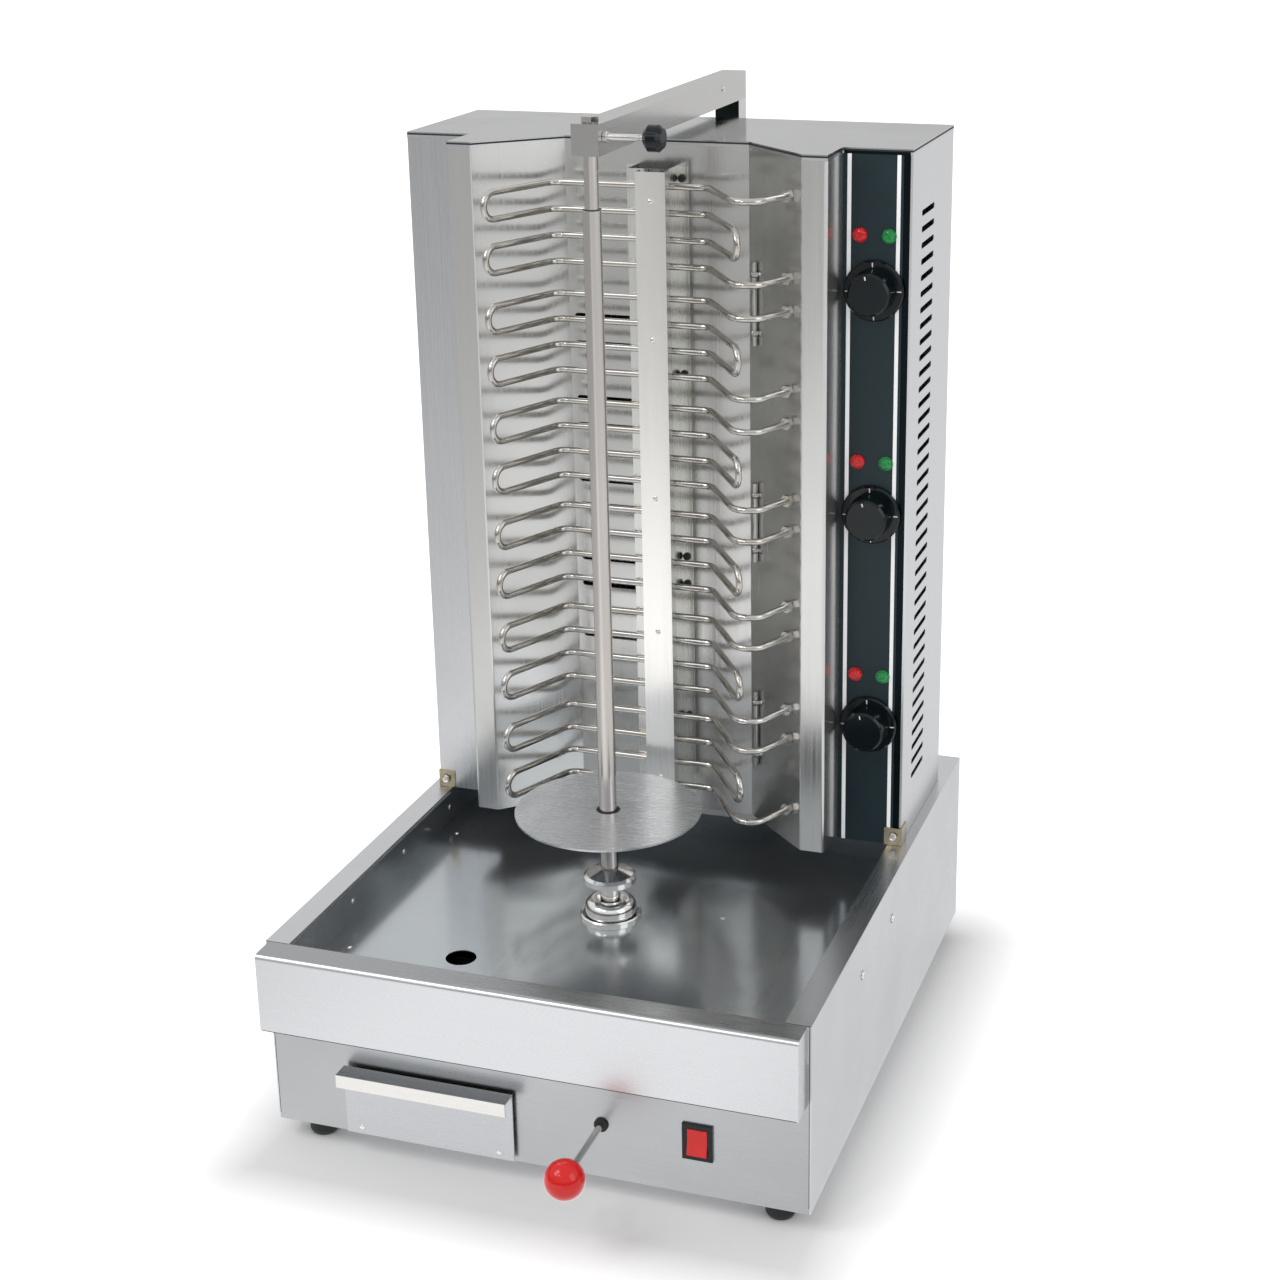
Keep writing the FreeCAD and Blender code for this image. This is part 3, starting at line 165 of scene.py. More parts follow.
def steel(name, colour, rough, grain="x", streak=0.05, bump=0.06, smudge=0.04, metal=1.0):
    """Stainless steel with brushing along one axis and cloudy handling marks."""
    f = Finish(name, Metallic=metal)
    streaks, grained = brushed(f, colour, rough, grain, streak, bump)
    clouds = f.noise(7, 3.0, 0.6)
    f.colour(f.mixed(f.spread(clouds, 0, 0.5), streaks, tint(colour, 0.92)))
    f.roughness(f.math("ADD", grained, f.spread(clouds, -smudge, smudge)))
    return f.material


def partly(name, colour, rough, grain, masks, other):
    """Brushed steel with another colour where all masks hold: (source, axis, operation, limit)."""
    f = Finish(name, Metallic=1.0)
    normal = f.add("ShaderNodeNewGeometry").outputs["Normal"]
    kept = None
    for source, axis, operation, limit in masks:
        held = f.math(operation, f.axes(normal if source == "normal" else f.place)[axis], limit)
        kept = held if kept is None else f.math("MULTIPLY", kept, held)
    streaks, grained = brushed(f, colour, rough, grain, 0.04, 0.04)
    f.colour(f.mixed(kept, streaks, other))
    f.roughness(grained)
    return f.material


def plain(name, colour, rough, scale=900, bump=0.1, vary=0.12, **inputs):
    """Moulded or painted surface: fine grain in the relief and soft clouds in colour and gloss."""
    f = Finish(name, **inputs)
    clouds = f.noise(18, 3.0, 0.6)
    f.colour(f.mixed(f.spread(clouds, 0, 1), tint(colour, 1 - vary), tint(colour, 1 + vary)))
    f.roughness(f.spread(clouds, rough - 0.04, rough + 0.05))
    f.bump(f.noise(scale, 2.0), bump, 0.0002)
    return f.material


def zinc(name):
    """Yellow passivated zinc: patches of light and dark straw."""
    f = Finish(name, Metallic=1.0)
    patches = f.noise(60, 4.0, 0.6)
    f.colour(f.mixed(f.spread(patches, 0, 1), (0.5, 0.42, 0.28), (0.3, 0.27, 0.2)))
    f.roughness(f.spread(patches, 0.18, 0.32))
    f.bump(f.noise(700), 0.12, 0.0002)
    return f.material


PANEL_LINES = ((189.0, 192.8), (235.4, 239.0))


def panel_film(name):
    """Dark printed film with two white lines along its length."""
    f = Finish(name, Specular_IOR_Level=0.3)
    masks = []
    for low, high in PANEL_LINES:
        x = f.axes(f.place)["X"]
        inside = f.math("GREATER_THAN", x, low * MM), f.math("LESS_THAN", x, high * MM)
        masks.append(f.math("MULTIPLY", *inside))
    lines = f.math("MAXIMUM", *masks)
    clouds = f.noise((14, 14, 5), 3.0, 0.6)
    dark = f.mixed(f.spread(clouds, 0, 1), (0.007, 0.02, 0.026), (0.011, 0.028, 0.035))
    f.colour(f.mixed(lines, dark, (0.9, 0.91, 0.92)))
    # Painted light: the white lines glow a little.
    f.glow(f.math("MULTIPLY", lines, 0.16))
    f.roughness(f.spread(clouds, 0.3, 0.4))
    f.bump(f.noise(1500, 2.0), 0.08, 0.0001)
    return f.material


def heated(name):
    """Heating tube: bright steel that has turned straw-coloured in soft patches."""
    f = Finish(name, Metallic=1.0)
    patches = f.noise((9, 9, 26), 3.0, 0.6)
    scratches = f.noise(GRAIN["fine"], 2.0)
    f.colour(f.mixed(f.spread(patches, 0, 1), (0.52, 0.51, 0.495), (0.45, 0.425, 0.385)))
    f.roughness(f.spread(scratches, 0.08, 0.16))
    f.bump(scratches, 0.08, 0.0002)
    return f.material


def lens(name, colour):
    """Coloured cap over a dark lamp: deep colour, mottled by the prisms inside."""
    f = Finish(name, Specular_IOR_Level=0.45)
    clouds = f.noise(420, 2.0)
    f.colour(f.mixed(f.spread(clouds, 0, 1), tint(colour, 0.6), tint(colour, 1.4)))
    f.roughness(f.spread(clouds, 0.08, 0.16))
    f.bump(clouds, 0.25, 0.0004)
    return f.material


STEEL = (0.56, 0.57, 0.585)
# Painted shade, used on the post's front face and the arm's underside.
SHADED = (0.02, 0.028, 0.026)
BLACK = (0.008, 0.012, 0.014)
# Painted shade: steel darkened for the front panel under the lip.
STEEL_IN_PAINTED_SHADE = (0.4, 0.41, 0.42)
FACES_FRONT = ("normal", "Y", "LESS_THAN", -0.5)
FACES_DOWN = ("normal", "Z", "LESS_THAN", -0.5)
FACES_UP = ("normal", "Z", "GREATER_THAN", 0.8)
FACES_RIGHT = ("normal", "X", "GREATER_THAN", 0.4)
POST_FRONT = ("place", "Y", "LESS_THAN", 338.8 * MM)
HANDLE_FRONT = ("place", "Y", "LESS_THAN", (FRONT_PANEL - 12) * MM)
RIGHT_OF_COLUMN = ("place", "X", "GREATER_THAN", 185.6 * MM)
LEFT_OF_EDGE = ("place", "X", "LESS_THAN", 247.7 * MM)
FINISHES = {
    "front": steel("steel_front", STEEL, 0.3, "x"),
    "side": steel("steel_side", STEEL, 0.3, "y"),
    "upright": steel("steel_upright", STEEL, 0.27, "z"),
    "shield": steel("steel_shield", (0.585, 0.585, 0.575), 0.18, "z", streak=0.04, bump=0.04,
                    metal=0.86),
    "lid": steel("steel_lid", (0.46, 0.465, 0.475), 0.15, "x", streak=0.04, bump=0.03, smudge=0.09),
    # Painted shade: the front panel under the lip is darker than the other steel.
    "panel_front": steel("steel_panel_front", STEEL_IN_PAINTED_SHADE, 0.3, "x"),
    "tray": steel("steel_tray", (0.46, 0.49, 0.51), 0.175, "y", streak=0.015, bump=0.012,
                  smudge=0.03, metal=0.9),
    "disc": steel("steel_disc", (0.6, 0.62, 0.65), 0.25, "x", streak=0.03, bump=0.018, metal=0.85),
    # Painted shade on the bar's right-facing faces.
    "bar": partly("steel_bar", (0.86, 0.85, 0.82), 0.2, "z", [FACES_RIGHT], (0.64, 0.64, 0.62)),
    "bar_rear": steel("steel_bar_rear", (0.7, 0.7, 0.67), 0.24, "z", streak=0.03, bump=0.03),
    # Painted shade: the post's front face, as if the post were an open channel, and the arm's
    # underside.
    "post": partly("steel_post", STEEL, 0.27, "z", [POST_FRONT], SHADED),
    "arm": partly("steel_arm", (0.475, 0.47, 0.46), 0.2, "y", [FACES_DOWN], SHADED),
    # Painted highlight on the front faces of the drawer's handle.
    "drawer": partly("steel_drawer", (0.45, 0.46, 0.475), 0.28, "x", [FACES_FRONT, HANDLE_FRONT],
                     (0.66, 0.645, 0.62)),
    # Painted dark reflection on the lip's upward faces.
    "lip": partly("steel_lip", STEEL, 0.28, "x", [FACES_UP], (0.34, 0.35, 0.36)),
    "housing_right": partly("steel_housing_right", STEEL, 0.27, "z", [FACES_FRONT, LEFT_OF_EDGE],
                            BLACK),
    "rim": partly("steel_rim", STEEL, 0.3, "x",
                  [("normal", "Y", "LESS_THAN", -0.3), RIGHT_OF_COLUMN, LEFT_OF_EDGE], BLACK),
    "spindle": steel("steel_spindle", (0.5, 0.475, 0.455), 0.18, "z", streak=0.04, bump=0.04),
    "bright": steel("steel_bright", (0.72, 0.71, 0.69), 0.14, "fine", streak=0.03, bump=0.03,
                    smudge=0.03),
    # Painted shade: the thermostat bulbs and their clips are darker steel.
    "bulb": steel("steel_bulb", (0.4, 0.4, 0.385), 0.22, "z", streak=0.04, bump=0.04),
    "element": heated("heating_tube"),
    "zinc": zinc("yellow_zinc"),
    "motor": plain("grey_enamel", (0.11, 0.12, 0.13), 0.4),
    "rubber": plain("black_rubber", (0.012, 0.012, 0.012), 0.75, 500, 0.2),
    "black": plain("black_plastic", (0.003, 0.007, 0.009), 0.13, 1100, 0.03,
                   Specular_IOR_Level=0.28),
    "black_screw": plain("blackened_steel", (0.03, 0.03, 0.03), 0.35, 800, 0.15, Metallic=0.7),
    "panel": panel_film("printed_film"),
    "red": plain("red_plastic", (0.72, 0.008, 0.006), 0.08, 300, 0.01, 0.06,
                 Specular_IOR_Level=0.4),
    # Painted shade: dark strips and rings in gaps, seams and round screws.
    "shade_paint": plain("painted_shade_dark", (0.01, 0.011, 0.012), 0.6),
    "white": plain("white_print", (0.85, 0.85, 0.84), 0.45, 900, 0.05, 0.04),
    "terminal": plain("pale_plastic", (0.62, 0.6, 0.54), 0.5),
    "brass": plain("brass", (0.72, 0.52, 0.22), 0.3, 700, 0.08, 0.1, Metallic=1.0),
    "red_lens": lens("red_lens", (0.68, 0.008, 0.012)),
    "green_lens": lens("green_lens", (0.006, 0.25, 0.06)),
}
SLOT_FINISH = {
    "brushed_stainless": "front", "tray_stainless": "tray", "spindle_steel": "spindle",
    "element_steel": "element", "bright_steel": "bright", "zinc_plate": "zinc",
    "motor_paint": "motor", "black_rubber": "rubber", "black_plastic": "black",
    "panel_black": "panel", "red_plastic": "red", "red_lens": "red_lens",
    "green_lens": "green_lens", "terminal_plastic": "terminal",
}
# Nodes that don't look like the rest of their slot.
NODE_FINISH = {
    "base_side_left": "side", "base_side_right": "side", "base_front_panel": "panel_front",
    "drawer_front": "drawer", "tray_front_lip": "lip", "housing_side_left": "upright",
    "housing_side_right": "housing_right", "housing_rear_panel": "upright", "housing_lid": "lid",
    "heat_shield": "shield", "element_bar_front": "bar", "element_bar_rear": "bar_rear",
    "thermostat_bulbs": "bulb", "meat_disc": "disc", "spit_arm": "arm", "arm_post": "post",
    "clamp_screw": "bright",
}
for entry in frame["record"]["subparts"]:
    chosen = NODE_FINISH.get(entry["node"], SLOT_FINISH[entry["material_slot"]])
    materials = frame["nodes"][entry["node"]].data.materials
    materials.clear()
    materials.append(FINISHES[chosen])


# Mesh making


def basis(normal):
    """Rotation that turns +Z to the given direction."""
    return Vector(normal).normalized().to_track_quat("Z", "Y").to_matrix().to_4x4()


class Mesh:
    """Collects turned and flat forms into one named piece."""

    def __init__(self):
        self.bm = bmesh.new()

    def join(self, first, second, closed=True):
        """Faces between two rows of points; a row of one point is a tip."""
        count = max(len(first), len(second))
        for i in range(count if closed else count - 1):
            k = (i + 1) % count
            if len(first) == 1:
                self.bm.faces.new((first[0], second[i], second[k]))
            elif len(second) == 1:
                self.bm.faces.new((first[i], first[k], second[0]))
            else:
                self.bm.faces.new((first[i], first[k], second[k], second[i]))

    def turned(self, outline, centre, normal=Z, steps=24):
        """Turns (radius, height) points in millimetres about an axis; few steps give facets."""
        turn = Matrix.Translation(centre) @ basis(normal)
        rings = []
        for radius, height in outline:
            if radius == 0:
                rings.append([self.bm.verts.new(turn @ Vector((0, 0, height * MM)))])
                continue
            angles = [2 * math.pi * i / steps for i in range(steps)]
            rings.append([self.bm.verts.new(
                turn @ (Vector((radius * math.cos(angle), radius * math.sin(angle), height)) * MM))
                for angle in angles])
        for low, high in zip(rings, rings[1:]):
            self.join(low, high)

    def slab(self, corners, normal, height):
        """A flat form: corners in metres, raised by height in millimetres along the normal."""
        lift = Vector(normal).normalized() * height * MM
        low = [self.bm.verts.new(corner) for corner in corners]
        high = [self.bm.verts.new(corner + lift) for corner in corners]
        self.bm.faces.new(high)
        self.bm.faces.new(low[::-1])
        self.join(low, high)

    def box(self, low, high):
        """A box between two corners given as (x, depth, height)."""
        corners = [at(x, y, low[2]) for x, y in ((low[0], low[1]), (high[0], low[1]),
                                                 (high[0], high[1]), (low[0], high[1]))]
        self.slab(corners, Z, high[2] - low[2])

    def finish(self, name, body, finish, slot, smooth=0.6):
        """Makes the piece; edges sharper than the angle in radians stay hard."""
        bmesh.ops.recalc_face_normals(self.bm, faces=self.bm.faces)
        data = bpy.data.meshes.new(name)
        self.bm.to_mesh(data)
        self.bm.free()
        for face in data.polygons:
            face.use_smooth = True
        data.set_sharp_from_angle(angle=smooth)
        piece = bpy.data.objects.new(name, data)
        bpy.context.scene.collection.objects.link(piece)
        data.materials.append(FINISHES[finish])
        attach(piece, body)
        return piece


def rectangle(centre, along, across, half_length, half_width):
    return [centre + (along * a + across * b) * MM
            for a, b in ((-half_length, -half_width), (half_length, -half_width),
                         (half_length, half_width), (-half_length, half_width))]


def band(inner, outer, low, high):
    """Outline of a flat ring."""
    return [(inner, low), (outer, low), (outer, high), (inner, high), (inner, low)]


def dome(radius, height):
    """Outline of a round head with a soft edge."""
    steps = [(radius * math.cos(a), height * math.sin(a))
             for a in (math.radians(d) for d in (0, 18, 36, 54, 72))]
    return [(radius, -0.3)] + steps + [(0, height)]


# Screws and rivets


def cross_head(mesh, centre, normal, radius, height):
    """Pan head with a dimple and a cross of two thin bars."""
    outline = [(radius, -0.3), (radius, height * 0.35), (radius * 0.86, height * 0.8),
               (radius * 0.62, height), (radius * 0.2, height * 0.98),
               (radius * 0.16, height * 0.35), (0, height * 0.3)]
    mesh.turned(outline, centre, normal)
    top = centre + normal * (height * 0.97) * MM
    for angle in (0.4, 0.4 + math.pi / 2):
        along = basis(normal) @ Vector((math.cos(angle), math.sin(angle), 0))
        across = normal.cross(along)
        mesh.slab(rectangle(top, along, across, radius * 0.56, radius * 0.1), normal, 0.08)


def heads(name, body, places, radius, height, crossed=False, finish="bright", slot="bright_steel"):
    mesh = Mesh()
    for centre, normal in places:
        if crossed:
            cross_head(mesh, centre, normal, radius, height)
        else:
            mesh.turned(dome(radius, height), centre, normal)
    mesh.finish(name, body, finish, slot)


SIDES = (1, -1)
TRAY_WALL = 235.2
BASE_SIDE = 260
SIDE_SCREWS = ((288.9, 144.9), (174, 143.8))
heads("tray_rivets", "base",
      [(at(-TRAY_WALL * s, y, 169), X * s) for y in (14.9, 125.2, 239, 350.6) for s in SIDES],
      3.0, 1.4)
heads("tray_screws", "base",
      [(at(x, y, 150.8), Z) for x, y in ((-212.9, 70.9), (-130.3, 52.9), (85.3, 54.5),
                                         (192.8, 54.2), (220.6, 289.5), (106.4, 230.4),
                                         (-218.4, 329.1))],
      2.6, 0.9)
heads("side_screws", "base",
      [(at(BASE_SIDE * s, y, z), X * s) for y, z in SIDE_SCREWS for s in SIDES], 3.9, 1.9, True)
heads("drawer_screws", "drawer", [(at(x, -5.2, 9.5), -Y) for x in (-171, -33)], 2.6, 1.2)
heads("arm_screw", "base", [(at(12.6, 543.7, 901.8), X)], 3.0, 1.6, True)
heads("bar_rivets", "heater_housing",
      [(at(9.75, 330.05, z), -Y) for z in (823.5, 692.7, 536.9, 400.3, 244.5)], 2.7, 1.2)
heads("bar_screws", "heater_housing",
      [(at(x, 374.0, z), -Y) for x, z in ((-23.5, 840.4), (26, 839.2), (26, 650.9),
                                          (-23.5, 683.8), (26, 465.7), (26, 437.3),
                                          (-23.5, 470.4), (-23.5, 296.5), (26, 296.5),
                                          (-23.5, 271.2))],
      4.0, 3.0, True, "black_screw", "black_plastic")
heads("rear_screws", "base",
      [(at(x, 595, z), Y) for x in (-250, -84, 84, 250) for z in (12, 174)], 3.2, 1.6, True)
heads("housing_rear_screws", "heater_housing",
      [(at(x, 532.3, z), Y) for x in (-241, 241) for z in (205, 370, 535, 700, 860)],
      3.2, 1.6, True)
heads("shoe_screws", "heater_housing",
      [(at(x, 360.6, 196.5), -Y) for x in (-242.5, 242.5)], 4.2, 2.6, True, "bright", "zinc_plate")
heads("terminal_block_screws", "base",
      [(at(-133 + 9.2 * i, y, 19.2), Z) for i in range(6) for y in (425.5, 436.5)],
      2.2, 0.5, False, "brass")
heads("motor_screws", "base",
      [(at(x, y, 147.6), -Z) for x in (-40, 40) for y in (180, 233)], 3.0, 2.0, True)


# Spit and clamp

SPIT_DEPTH = 206.8


def thread(mesh, centre, start, end, pitch, root, crest, steps=20):
    """A screw thread along +X: a ridge that winds from start to end."""
    previous = None
    for i in range(int((end - start) / pitch * steps) + 1):
        angle = 2 * math.pi * i / steps
        along = start + pitch * i / steps
        ridge = [mesh.bm.verts.new(centre + Vector((along + shift, radius * math.cos(angle),
                                                    radius * math.sin(angle))) * MM)
                 for radius, shift in ((root, -0.4), (crest, 0.0), (root, 0.4))]
        if previous:
            mesh.join(previous, ridge, closed=False)
        previous = ridge


mesh = Mesh()
thread(mesh, at(0, SPIT_DEPTH, 900), start=18.4, end=50.3, pitch=1.1, root=2.62, crest=3.1)
mesh.finish("clamp_thread", "clamp", "bright", "zinc_plate", 1.2)

# Painted shade: dark rings in the gap round the spindle in the disc's hole, and where the spindle's
# two tubes meet.
mesh = Mesh()
for height, inner, outer in ((262.0, 8.5, 11.4), (836.7, 7.15, 8.35)):
    mesh.turned(band(inner, outer, -0.1, 0.06), at(0, SPIT_DEPTH, height), Z, 48)
mesh.finish("spit_gap_shade", "spit", "shade_paint", "black_plastic")


# Controls, which repeat for three zones

ZONE_SPACING = 215.5
KNOB_X = 215.5
LOWEST_KNOB = 314.0
LOWEST_LIGHTS = 365.0
SKIRT_FACE = 358.0
CAP_FACE = 338.0


def tick(mesh, centre, angle, inner, outer, half_width):
    """A raised line on a dial that faces the front; angles in degrees, from +X towards +Z."""
    way = Vector((math.cos(math.radians(angle)), 0, math.sin(math.radians(angle))))
    side = Vector((-way.z, 0, way.x))
    middle = centre + way * (inner + outer) / 2 * MM
    mesh.slab(rectangle(middle, way, side, (outer - inner) / 2, half_width), -Y, 0.15)


for zone, body in enumerate(("knob_low", "knob_middle", "knob_high")):
    height = LOWEST_KNOB + ZONE_SPACING * zone
    mesh = Mesh()
    for angle in (92, 2, 182, 272):
        tick(mesh, at(KNOB_X, SKIRT_FACE, height), angle, 22.6, 26.8, 0.55)
    tick(mesh, at(KNOB_X, CAP_FACE, height), 100, 14.2, 17.6, 0.6)
    mesh.finish("knob_marks_%d" % (zone + 1), body, "white", "black_plastic")

LIGHT_OUTLINE = [(4.9, -6), (4.9, 0), (7, 0), (7, 1.4), (6.7, 1.9), (6.1, 1.9), (5.9, 2.3),
                 (5.9, 3.4), (5.0, 4.4), (3.4, 5.0), (1.6, 5.0), (1.4, 4.6), (0, 4.5)]
for colour, x in (("red", 201.5), ("green", 229.0)):
    cap_finish = colour + "_lens"
    mesh = Mesh()
    for zone in range(3):
        mesh.turned(LIGHT_OUTLINE, at(x, 363, LOWEST_LIGHTS + ZONE_SPACING * zone), -Y, 16)
    caps = mesh.finish("pilot_lenses_" + colour, "heater_housing", cap_finish, cap_finish, 0.3)
    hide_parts("pilot_lights_" + colour)

# The rocker's upper half stands upright and its lower half leans out.
ROCKER = at(156.8, 0, 54)
ROCKER_FACE = -0.3
MARK_HEIGHT = 6.0
LEAN = math.radians(14)
mesh = Mesh()
bar_centre = ROCKER + Vector((0, ROCKER_FACE - 0.02, MARK_HEIGHT)) * MM
mesh.slab(rectangle(bar_centre, X, Z, 0.5, 2.2), -Y, 0.12)
ring_depth = ROCKER_FACE - MARK_HEIGHT * math.tan(LEAN) - 0.02
mesh.turned(band(1.3, 2.1, -0.05, 0.12), ROCKER + Vector((0, ring_depth, -MARK_HEIGHT)) * MM,
            Vector((0, -math.cos(LEAN), -math.sin(LEAN))))
mesh.finish("rocker_marks", "rocker", "white", "red_plastic")


# Painted shade in seams and gaps, and folded edges

COLUMN_FRONT, SHIELD_BACK, HOUSING_FRONT, HOUSING_REAR = 310.7, 375.2, 363.0, 532.3
COLUMN_INNER, COLUMN_OUTER, HOUSING_HALF, RECESS_HALF = 160.7, 184.65, 249.9, 91.53
RIGHT_LID_OUTLINE = [(RECESS_HALF, SHIELD_BACK), (COLUMN_INNER, COLUMN_FRONT),
                     (COLUMN_OUTER, COLUMN_FRONT), (COLUMN_OUTER, HOUSING_FRONT),
                     (HOUSING_HALF, HOUSING_FRONT), (HOUSING_HALF, HOUSING_REAR)]
LID_OUTLINE = [(-x, y) for x, y in reversed(RIGHT_LID_OUTLINE)] + RIGHT_LID_OUTLINE


def pushed(outline, distance):
    """Closed outline in (x, depth), moved outwards by a distance; its corners stay mitred."""
    result = []
    for before, here, after in zip(outline[-1:] + outline[:-1], outline, outline[1:] + outline[:1]):
        first = (Vector(here) - Vector(before)).normalized()
        second = (Vector(after) - Vector(here)).normalized()
        normal = Vector((-first.y - second.y, first.x + second.x))
        result.append(Vector(here) + normal * distance * 2 / normal.length_squared)
    return result


def ribbon(name, finish, slot, section):
    """A band round the lid; its section is a closed list of (distance outwards, height)."""
    mesh = Mesh()
    rings = [[mesh.bm.verts.new(at(x, y, height)) for x, y in pushed(LID_OUTLINE, distance)]
             for distance, height in section]
    for low, high in zip(rings, rings[1:]):
        mesh.join(low, high)
    mesh.finish(name, "heater_housing", finish, slot)


# Painted shade: a dark strip where the lid meets the folded edge below it.
ribbon("lid_gap_shade", "shade_paint", "black_plastic",
       [(-0.2, 874.1), (0.12, 874.1), (0.12, 872.5), (-0.2, 872.5), (-0.2, 874.1)])
ribbon("lid_edge", "rim", "brushed_stainless",
       [(-0.2, 872.5), (0.2, 872.4), (0.75, 871.3), (0.9, 870.4), (0.5, 869.9), (-0.2, 869.8),
        (-0.2, 872.5)])


def side_box(mesh, side, inner, outer, depths, heights):
    """A box on the right (side 1) or left (side -1)."""
    left, right = sorted((side * inner, side * outer))
    mesh.box((left, depths[0], heights[0]), (right, depths[1], heights[1]))


# Painted shade in the seams: front panel to sides, lip to rims, the lip's lower fold. Tabs: beside
# the lip's ends. Rings of painted shade round the side screws.
seam_lines_shade, tabs, hole_shading = Mesh(), Mesh(), Mesh()
for s in SIDES:
    side_box(seam_lines_shade, s, 258.15, 258.75, (-0.08, 0.05), (6, 185.6))
    side_box(seam_lines_shade, s, 236.6, 259.6, (-0.35, 0.35), (186.3, 186.66))
    side_box(tabs, s, 256.55, 258.1, (0.0, 1.1), (149.7, 185.4))
    for y, z in SIDE_SCREWS:
        hole_shading.turned(band(3.8, 4.6, -0.2, 0.12), at(BASE_SIDE * s, y, z), X * s)
seam_lines_shade.box((-255, -27.8, 109.1), (255, -27.6, 109.7))
seam_lines_shade.finish("base_seam_shade", "base", "shade_paint", "black_plastic")
tabs.finish("lip_tabs", "base", "front", "brushed_stainless")
hole_shading.finish("side_screw_hole_shade", "base", "shade_paint", "black_plastic")


# Clips of the thermostat bulbs, on the shield's right wall

WALL_ANGLE = math.radians(43)
ALONG_WALL = Vector((math.cos(WALL_ANGLE), -math.sin(WALL_ANGLE), 0))
OFF_WALL = Vector((-math.sin(WALL_ANGLE), -math.cos(WALL_ANGLE), 0))
WALL_START = COLUMN_INNER - (SHIELD_BACK - COLUMN_FRONT) / math.tan(WALL_ANGLE)
LOWEST_BULB_TOP = 335
CLIP_HALF = 2.6
CLIP_OUTLINE = ((-7.4, 0.1), (-3.6, 0.1), (-3.6, 3.2), (-2.2, 5.6), (0, 6.5), (2.2, 5.6),
                (3.6, 3.2), (3.6, 0.1), (7.4, 0.1))

mesh = Mesh()
for zone in (2, 1, 0):
    top = LOWEST_BULB_TOP + ZONE_SPACING * zone
    for height in (top - 12, top - 68):
        foot = at(WALL_START, SHIELD_BACK, height) + ALONG_WALL * 14 * MM
        rows = [[mesh.bm.verts.new(foot + (ALONG_WALL * a + OFF_WALL * b + Z * w) * MM)
                 for w in (-CLIP_HALF, CLIP_HALF)] for a, b in CLIP_OUTLINE]
        for first, second in zip(rows, rows[1:]):
            mesh.join(first, second, closed=False)
        for a in (-5.6, 5.6):
            mesh.turned(dome(1.5, 0.9), foot + (ALONG_WALL * a + OFF_WALL * 0.4) * MM, OFF_WALL, 16)
clips = mesh.finish("bulb_clips", "heater_housing", "bulb", "bright_steel")
sheet = clips.modifiers.new("Sheet", "SOLIDIFY")
sheet.thickness = 0.5 * MM


# Floor and studio

FLOOR_REACH = 40.0
BASE_HALF = {"X": 0.26, "Y": 0.31}
SHADOW_WIDTH = 0.13


def floor_material(name, shade):
    """Pale floor: it keeps the soft shadow beside the base and is plain white further away."""
    f = Finish(name, Roughness=0.9, Specular_IOR_Level=0.0)
    f.shader.inputs["Base Color"].default_value = (shade, shade, shade, 1)
    place = f.axes(f.place)
    beside = [f.math("MAXIMUM", f.math("SUBTRACT", f.math("ABSOLUTE", place[axis]), half), 0.0)
              for axis, half in BASE_HALF.items()]
    away = f.math("SQRT", f.math("ADD", *[f.math("POWER", value, 2.0) for value in beside]))
    ray = f.add("ShaderNodeLightPath").outputs
    seen = f.math("MULTIPLY", ray["Is Camera Ray"], f.spread(away, 0.0, 0.75, 0.0, SHADOW_WIDTH))
    # What the front panels mirror is lighter towards the middle and duller at the far right.
    card = f.math("SUBTRACT", f.spread(place["X"], 0.0, 0.62, -0.8, -0.25),
                  f.spread(place["X"], 0.0, 0.26, 0.1, 0.3))
    reflection = f.math("MAXIMUM", ray["Is Glossy Ray"], ray["Is Transmission Ray"])
    f.glow(f.math("ADD", seen, f.math("MULTIPLY", reflection, card)))
    return f.material


data = bpy.data.meshes.new("floor")
corners = [(-FLOOR_REACH, -FLOOR_REACH, 0), (FLOOR_REACH, -FLOOR_REACH, 0),
           (FLOOR_REACH, FLOOR_REACH, 0), (-FLOOR_REACH, FLOOR_REACH, 0)]
data.from_pydata(corners, [], [(0, 1, 2, 3)])
floor = bpy.data.objects.new("floor", data)
bpy.context.scene.collection.objects.link(floor)
floor.location.z = -0.2 * MM
data.materials.append(floor_material("floor_white", 0.85))

# White for the camera; the metal mirrors a room that is white above and behind, darker low down
# and grey in front; everything else gets an even light.
AMBIENT = 0.66
world = bpy.data.worlds.new("Studio")
bpy.context.scene.world = world
world.use_nodes = True
sky = Nodes(world.node_tree)
direction = sky.axes(sky.add("ShaderNodeTexCoord").outputs["Generated"])
behind = sky.spread(direction["Y"], 0.0, 1.0, -0.1, 0.6, smooth=True)
above = sky.spread(direction["Z"], 0.0, 1.0, 0.02, 0.35, smooth=True)
dimmed_low = sky.spread(direction["Z"], 0.55, 1.0, 0.1, 0.5, smooth=True)
room = sky.math("MULTIPLY", sky.math("MAXIMUM", behind, above), dimmed_low)
mirrored = sky.math("ADD", sky.math("MULTIPLY", room, 0.7), 0.3)
ray = sky.add("ShaderNodeLightPath").outputs
glossy = sky.math("MAXIMUM", ray["Is Glossy Ray"], ray["Is Transmission Ray"])
shown = sky.math("MAXIMUM", sky.math("MULTIPLY", glossy, mirrored), ray["Is Camera Ray"])
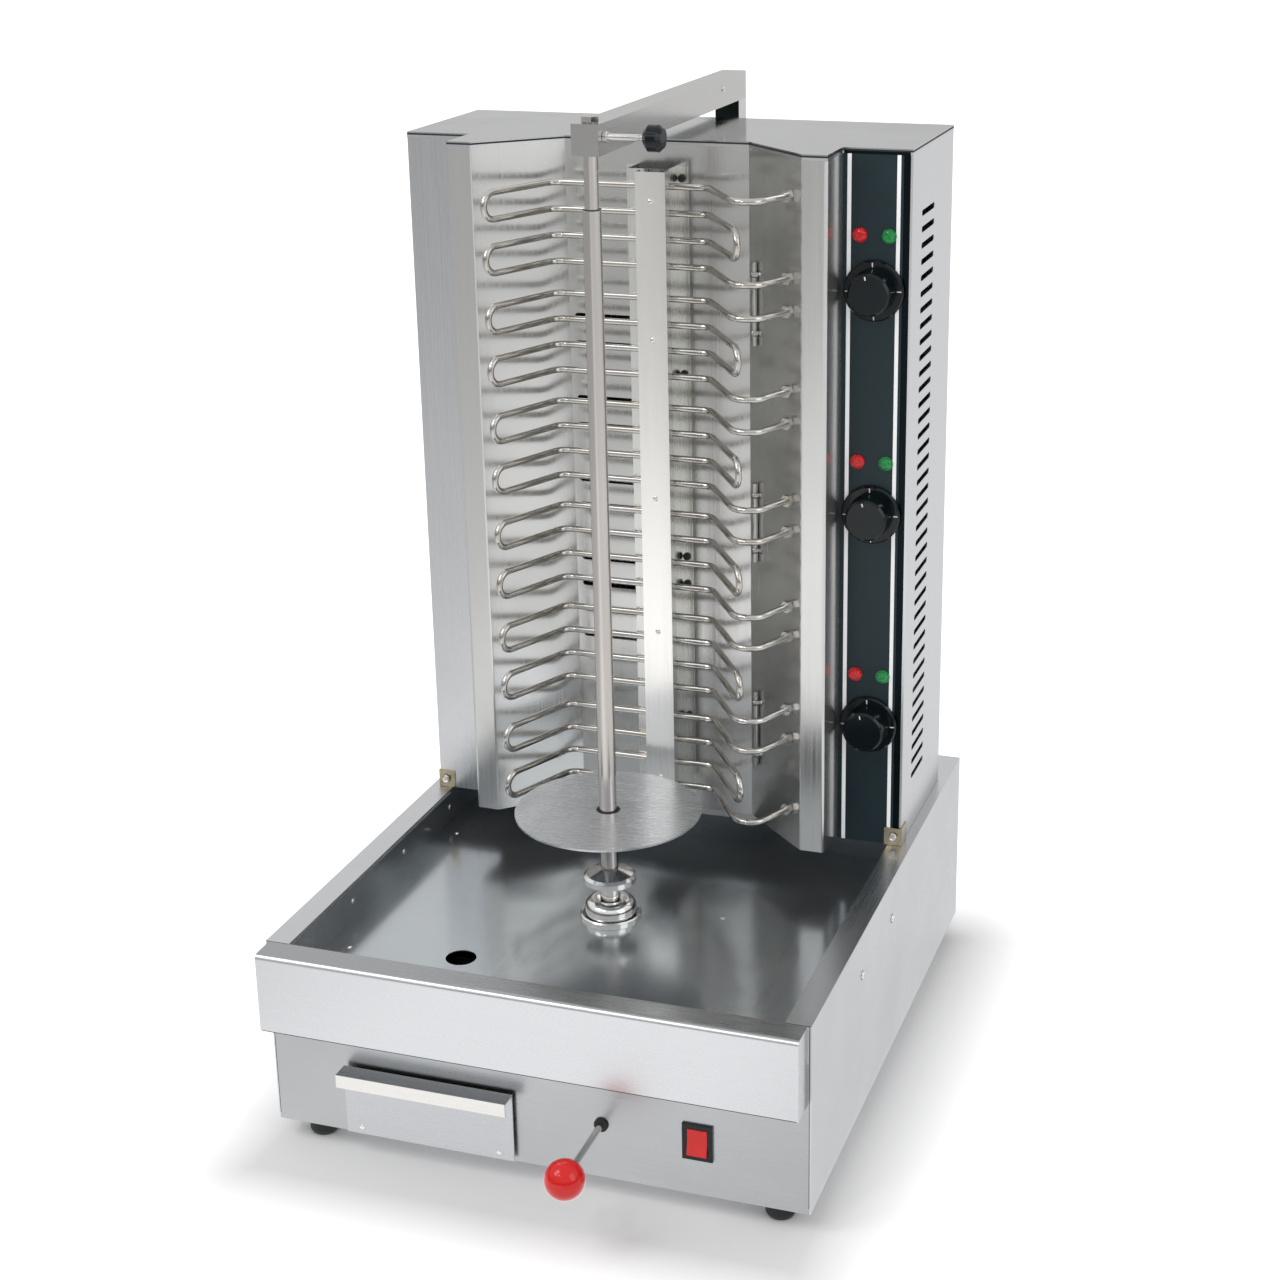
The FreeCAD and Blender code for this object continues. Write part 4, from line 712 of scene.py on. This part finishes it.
other = sky.math("SUBTRACT", 1.0, sky.math("MAXIMUM", glossy, ray["Is Camera Ray"]))
background = sky.tree.nodes["Background"]
background.inputs["Color"].default_value = (1, 1, 1, 1)
strength = sky.math("ADD", shown, sky.math("MULTIPLY", other, AMBIENT))
sky.link(strength, background.inputs["Strength"])


def lamp(name, place, width, power):
    """A soft box that faces the machine's middle."""
    light = bpy.data.lights.new(name, "AREA")
    light.shape = "RECTANGLE"
    light.size = width
    light.size_y = width * 1.4
    light.energy = power
    thing = bpy.data.objects.new(name, light)
    bpy.context.scene.collection.objects.link(thing)
    thing.location = place
    towards = Vector((0, 0, 0.45)) - Vector(place)
    thing.rotation_euler = towards.to_track_quat("-Z", "Y").to_euler()


lamp("key", (-1.4, -1.3, 2.3), 1.0, 17)
lamp("fill", (2.2, -0.8, 1.4), 1.2, 9)
lamp("glint", (-0.5, -1.9, 2.0), 0.16, 3.5)


# Camera, solved from the photograph

PHOTO_WIDTH = 1280
CAMERA_PLACE = (0.71027, -1.8739, 1.1883)
YAW, PITCH_DOWN, ROLL = math.radians(18.62), math.radians(18.55), math.radians(-0.70)
forward = Vector((-math.sin(YAW) * math.cos(PITCH_DOWN), math.cos(YAW) * math.cos(PITCH_DOWN),
                  -math.sin(PITCH_DOWN)))
level_right = Vector((math.cos(YAW), math.sin(YAW), 0))
level_up = level_right.cross(forward)
right = level_right * math.cos(ROLL) + level_up * math.sin(ROLL)
up = level_up * math.cos(ROLL) - level_right * math.sin(ROLL)
optics = bpy.data.cameras.new("Camera")
optics.sensor_width = 36.0
optics.lens = 63.06
optics.shift_x = -60 / PHOTO_WIDTH
optics.shift_y = -80 / PHOTO_WIDTH
camera = bpy.data.objects.new("Camera", optics)
bpy.context.scene.collection.objects.link(camera)
camera_axes = Matrix((right, up, -forward)).transposed()
camera.matrix_world = Matrix.Translation(CAMERA_PLACE) @ camera_axes.to_4x4()
bpy.context.scene.camera = camera
bpy.context.scene.view_settings.view_transform = "Standard"
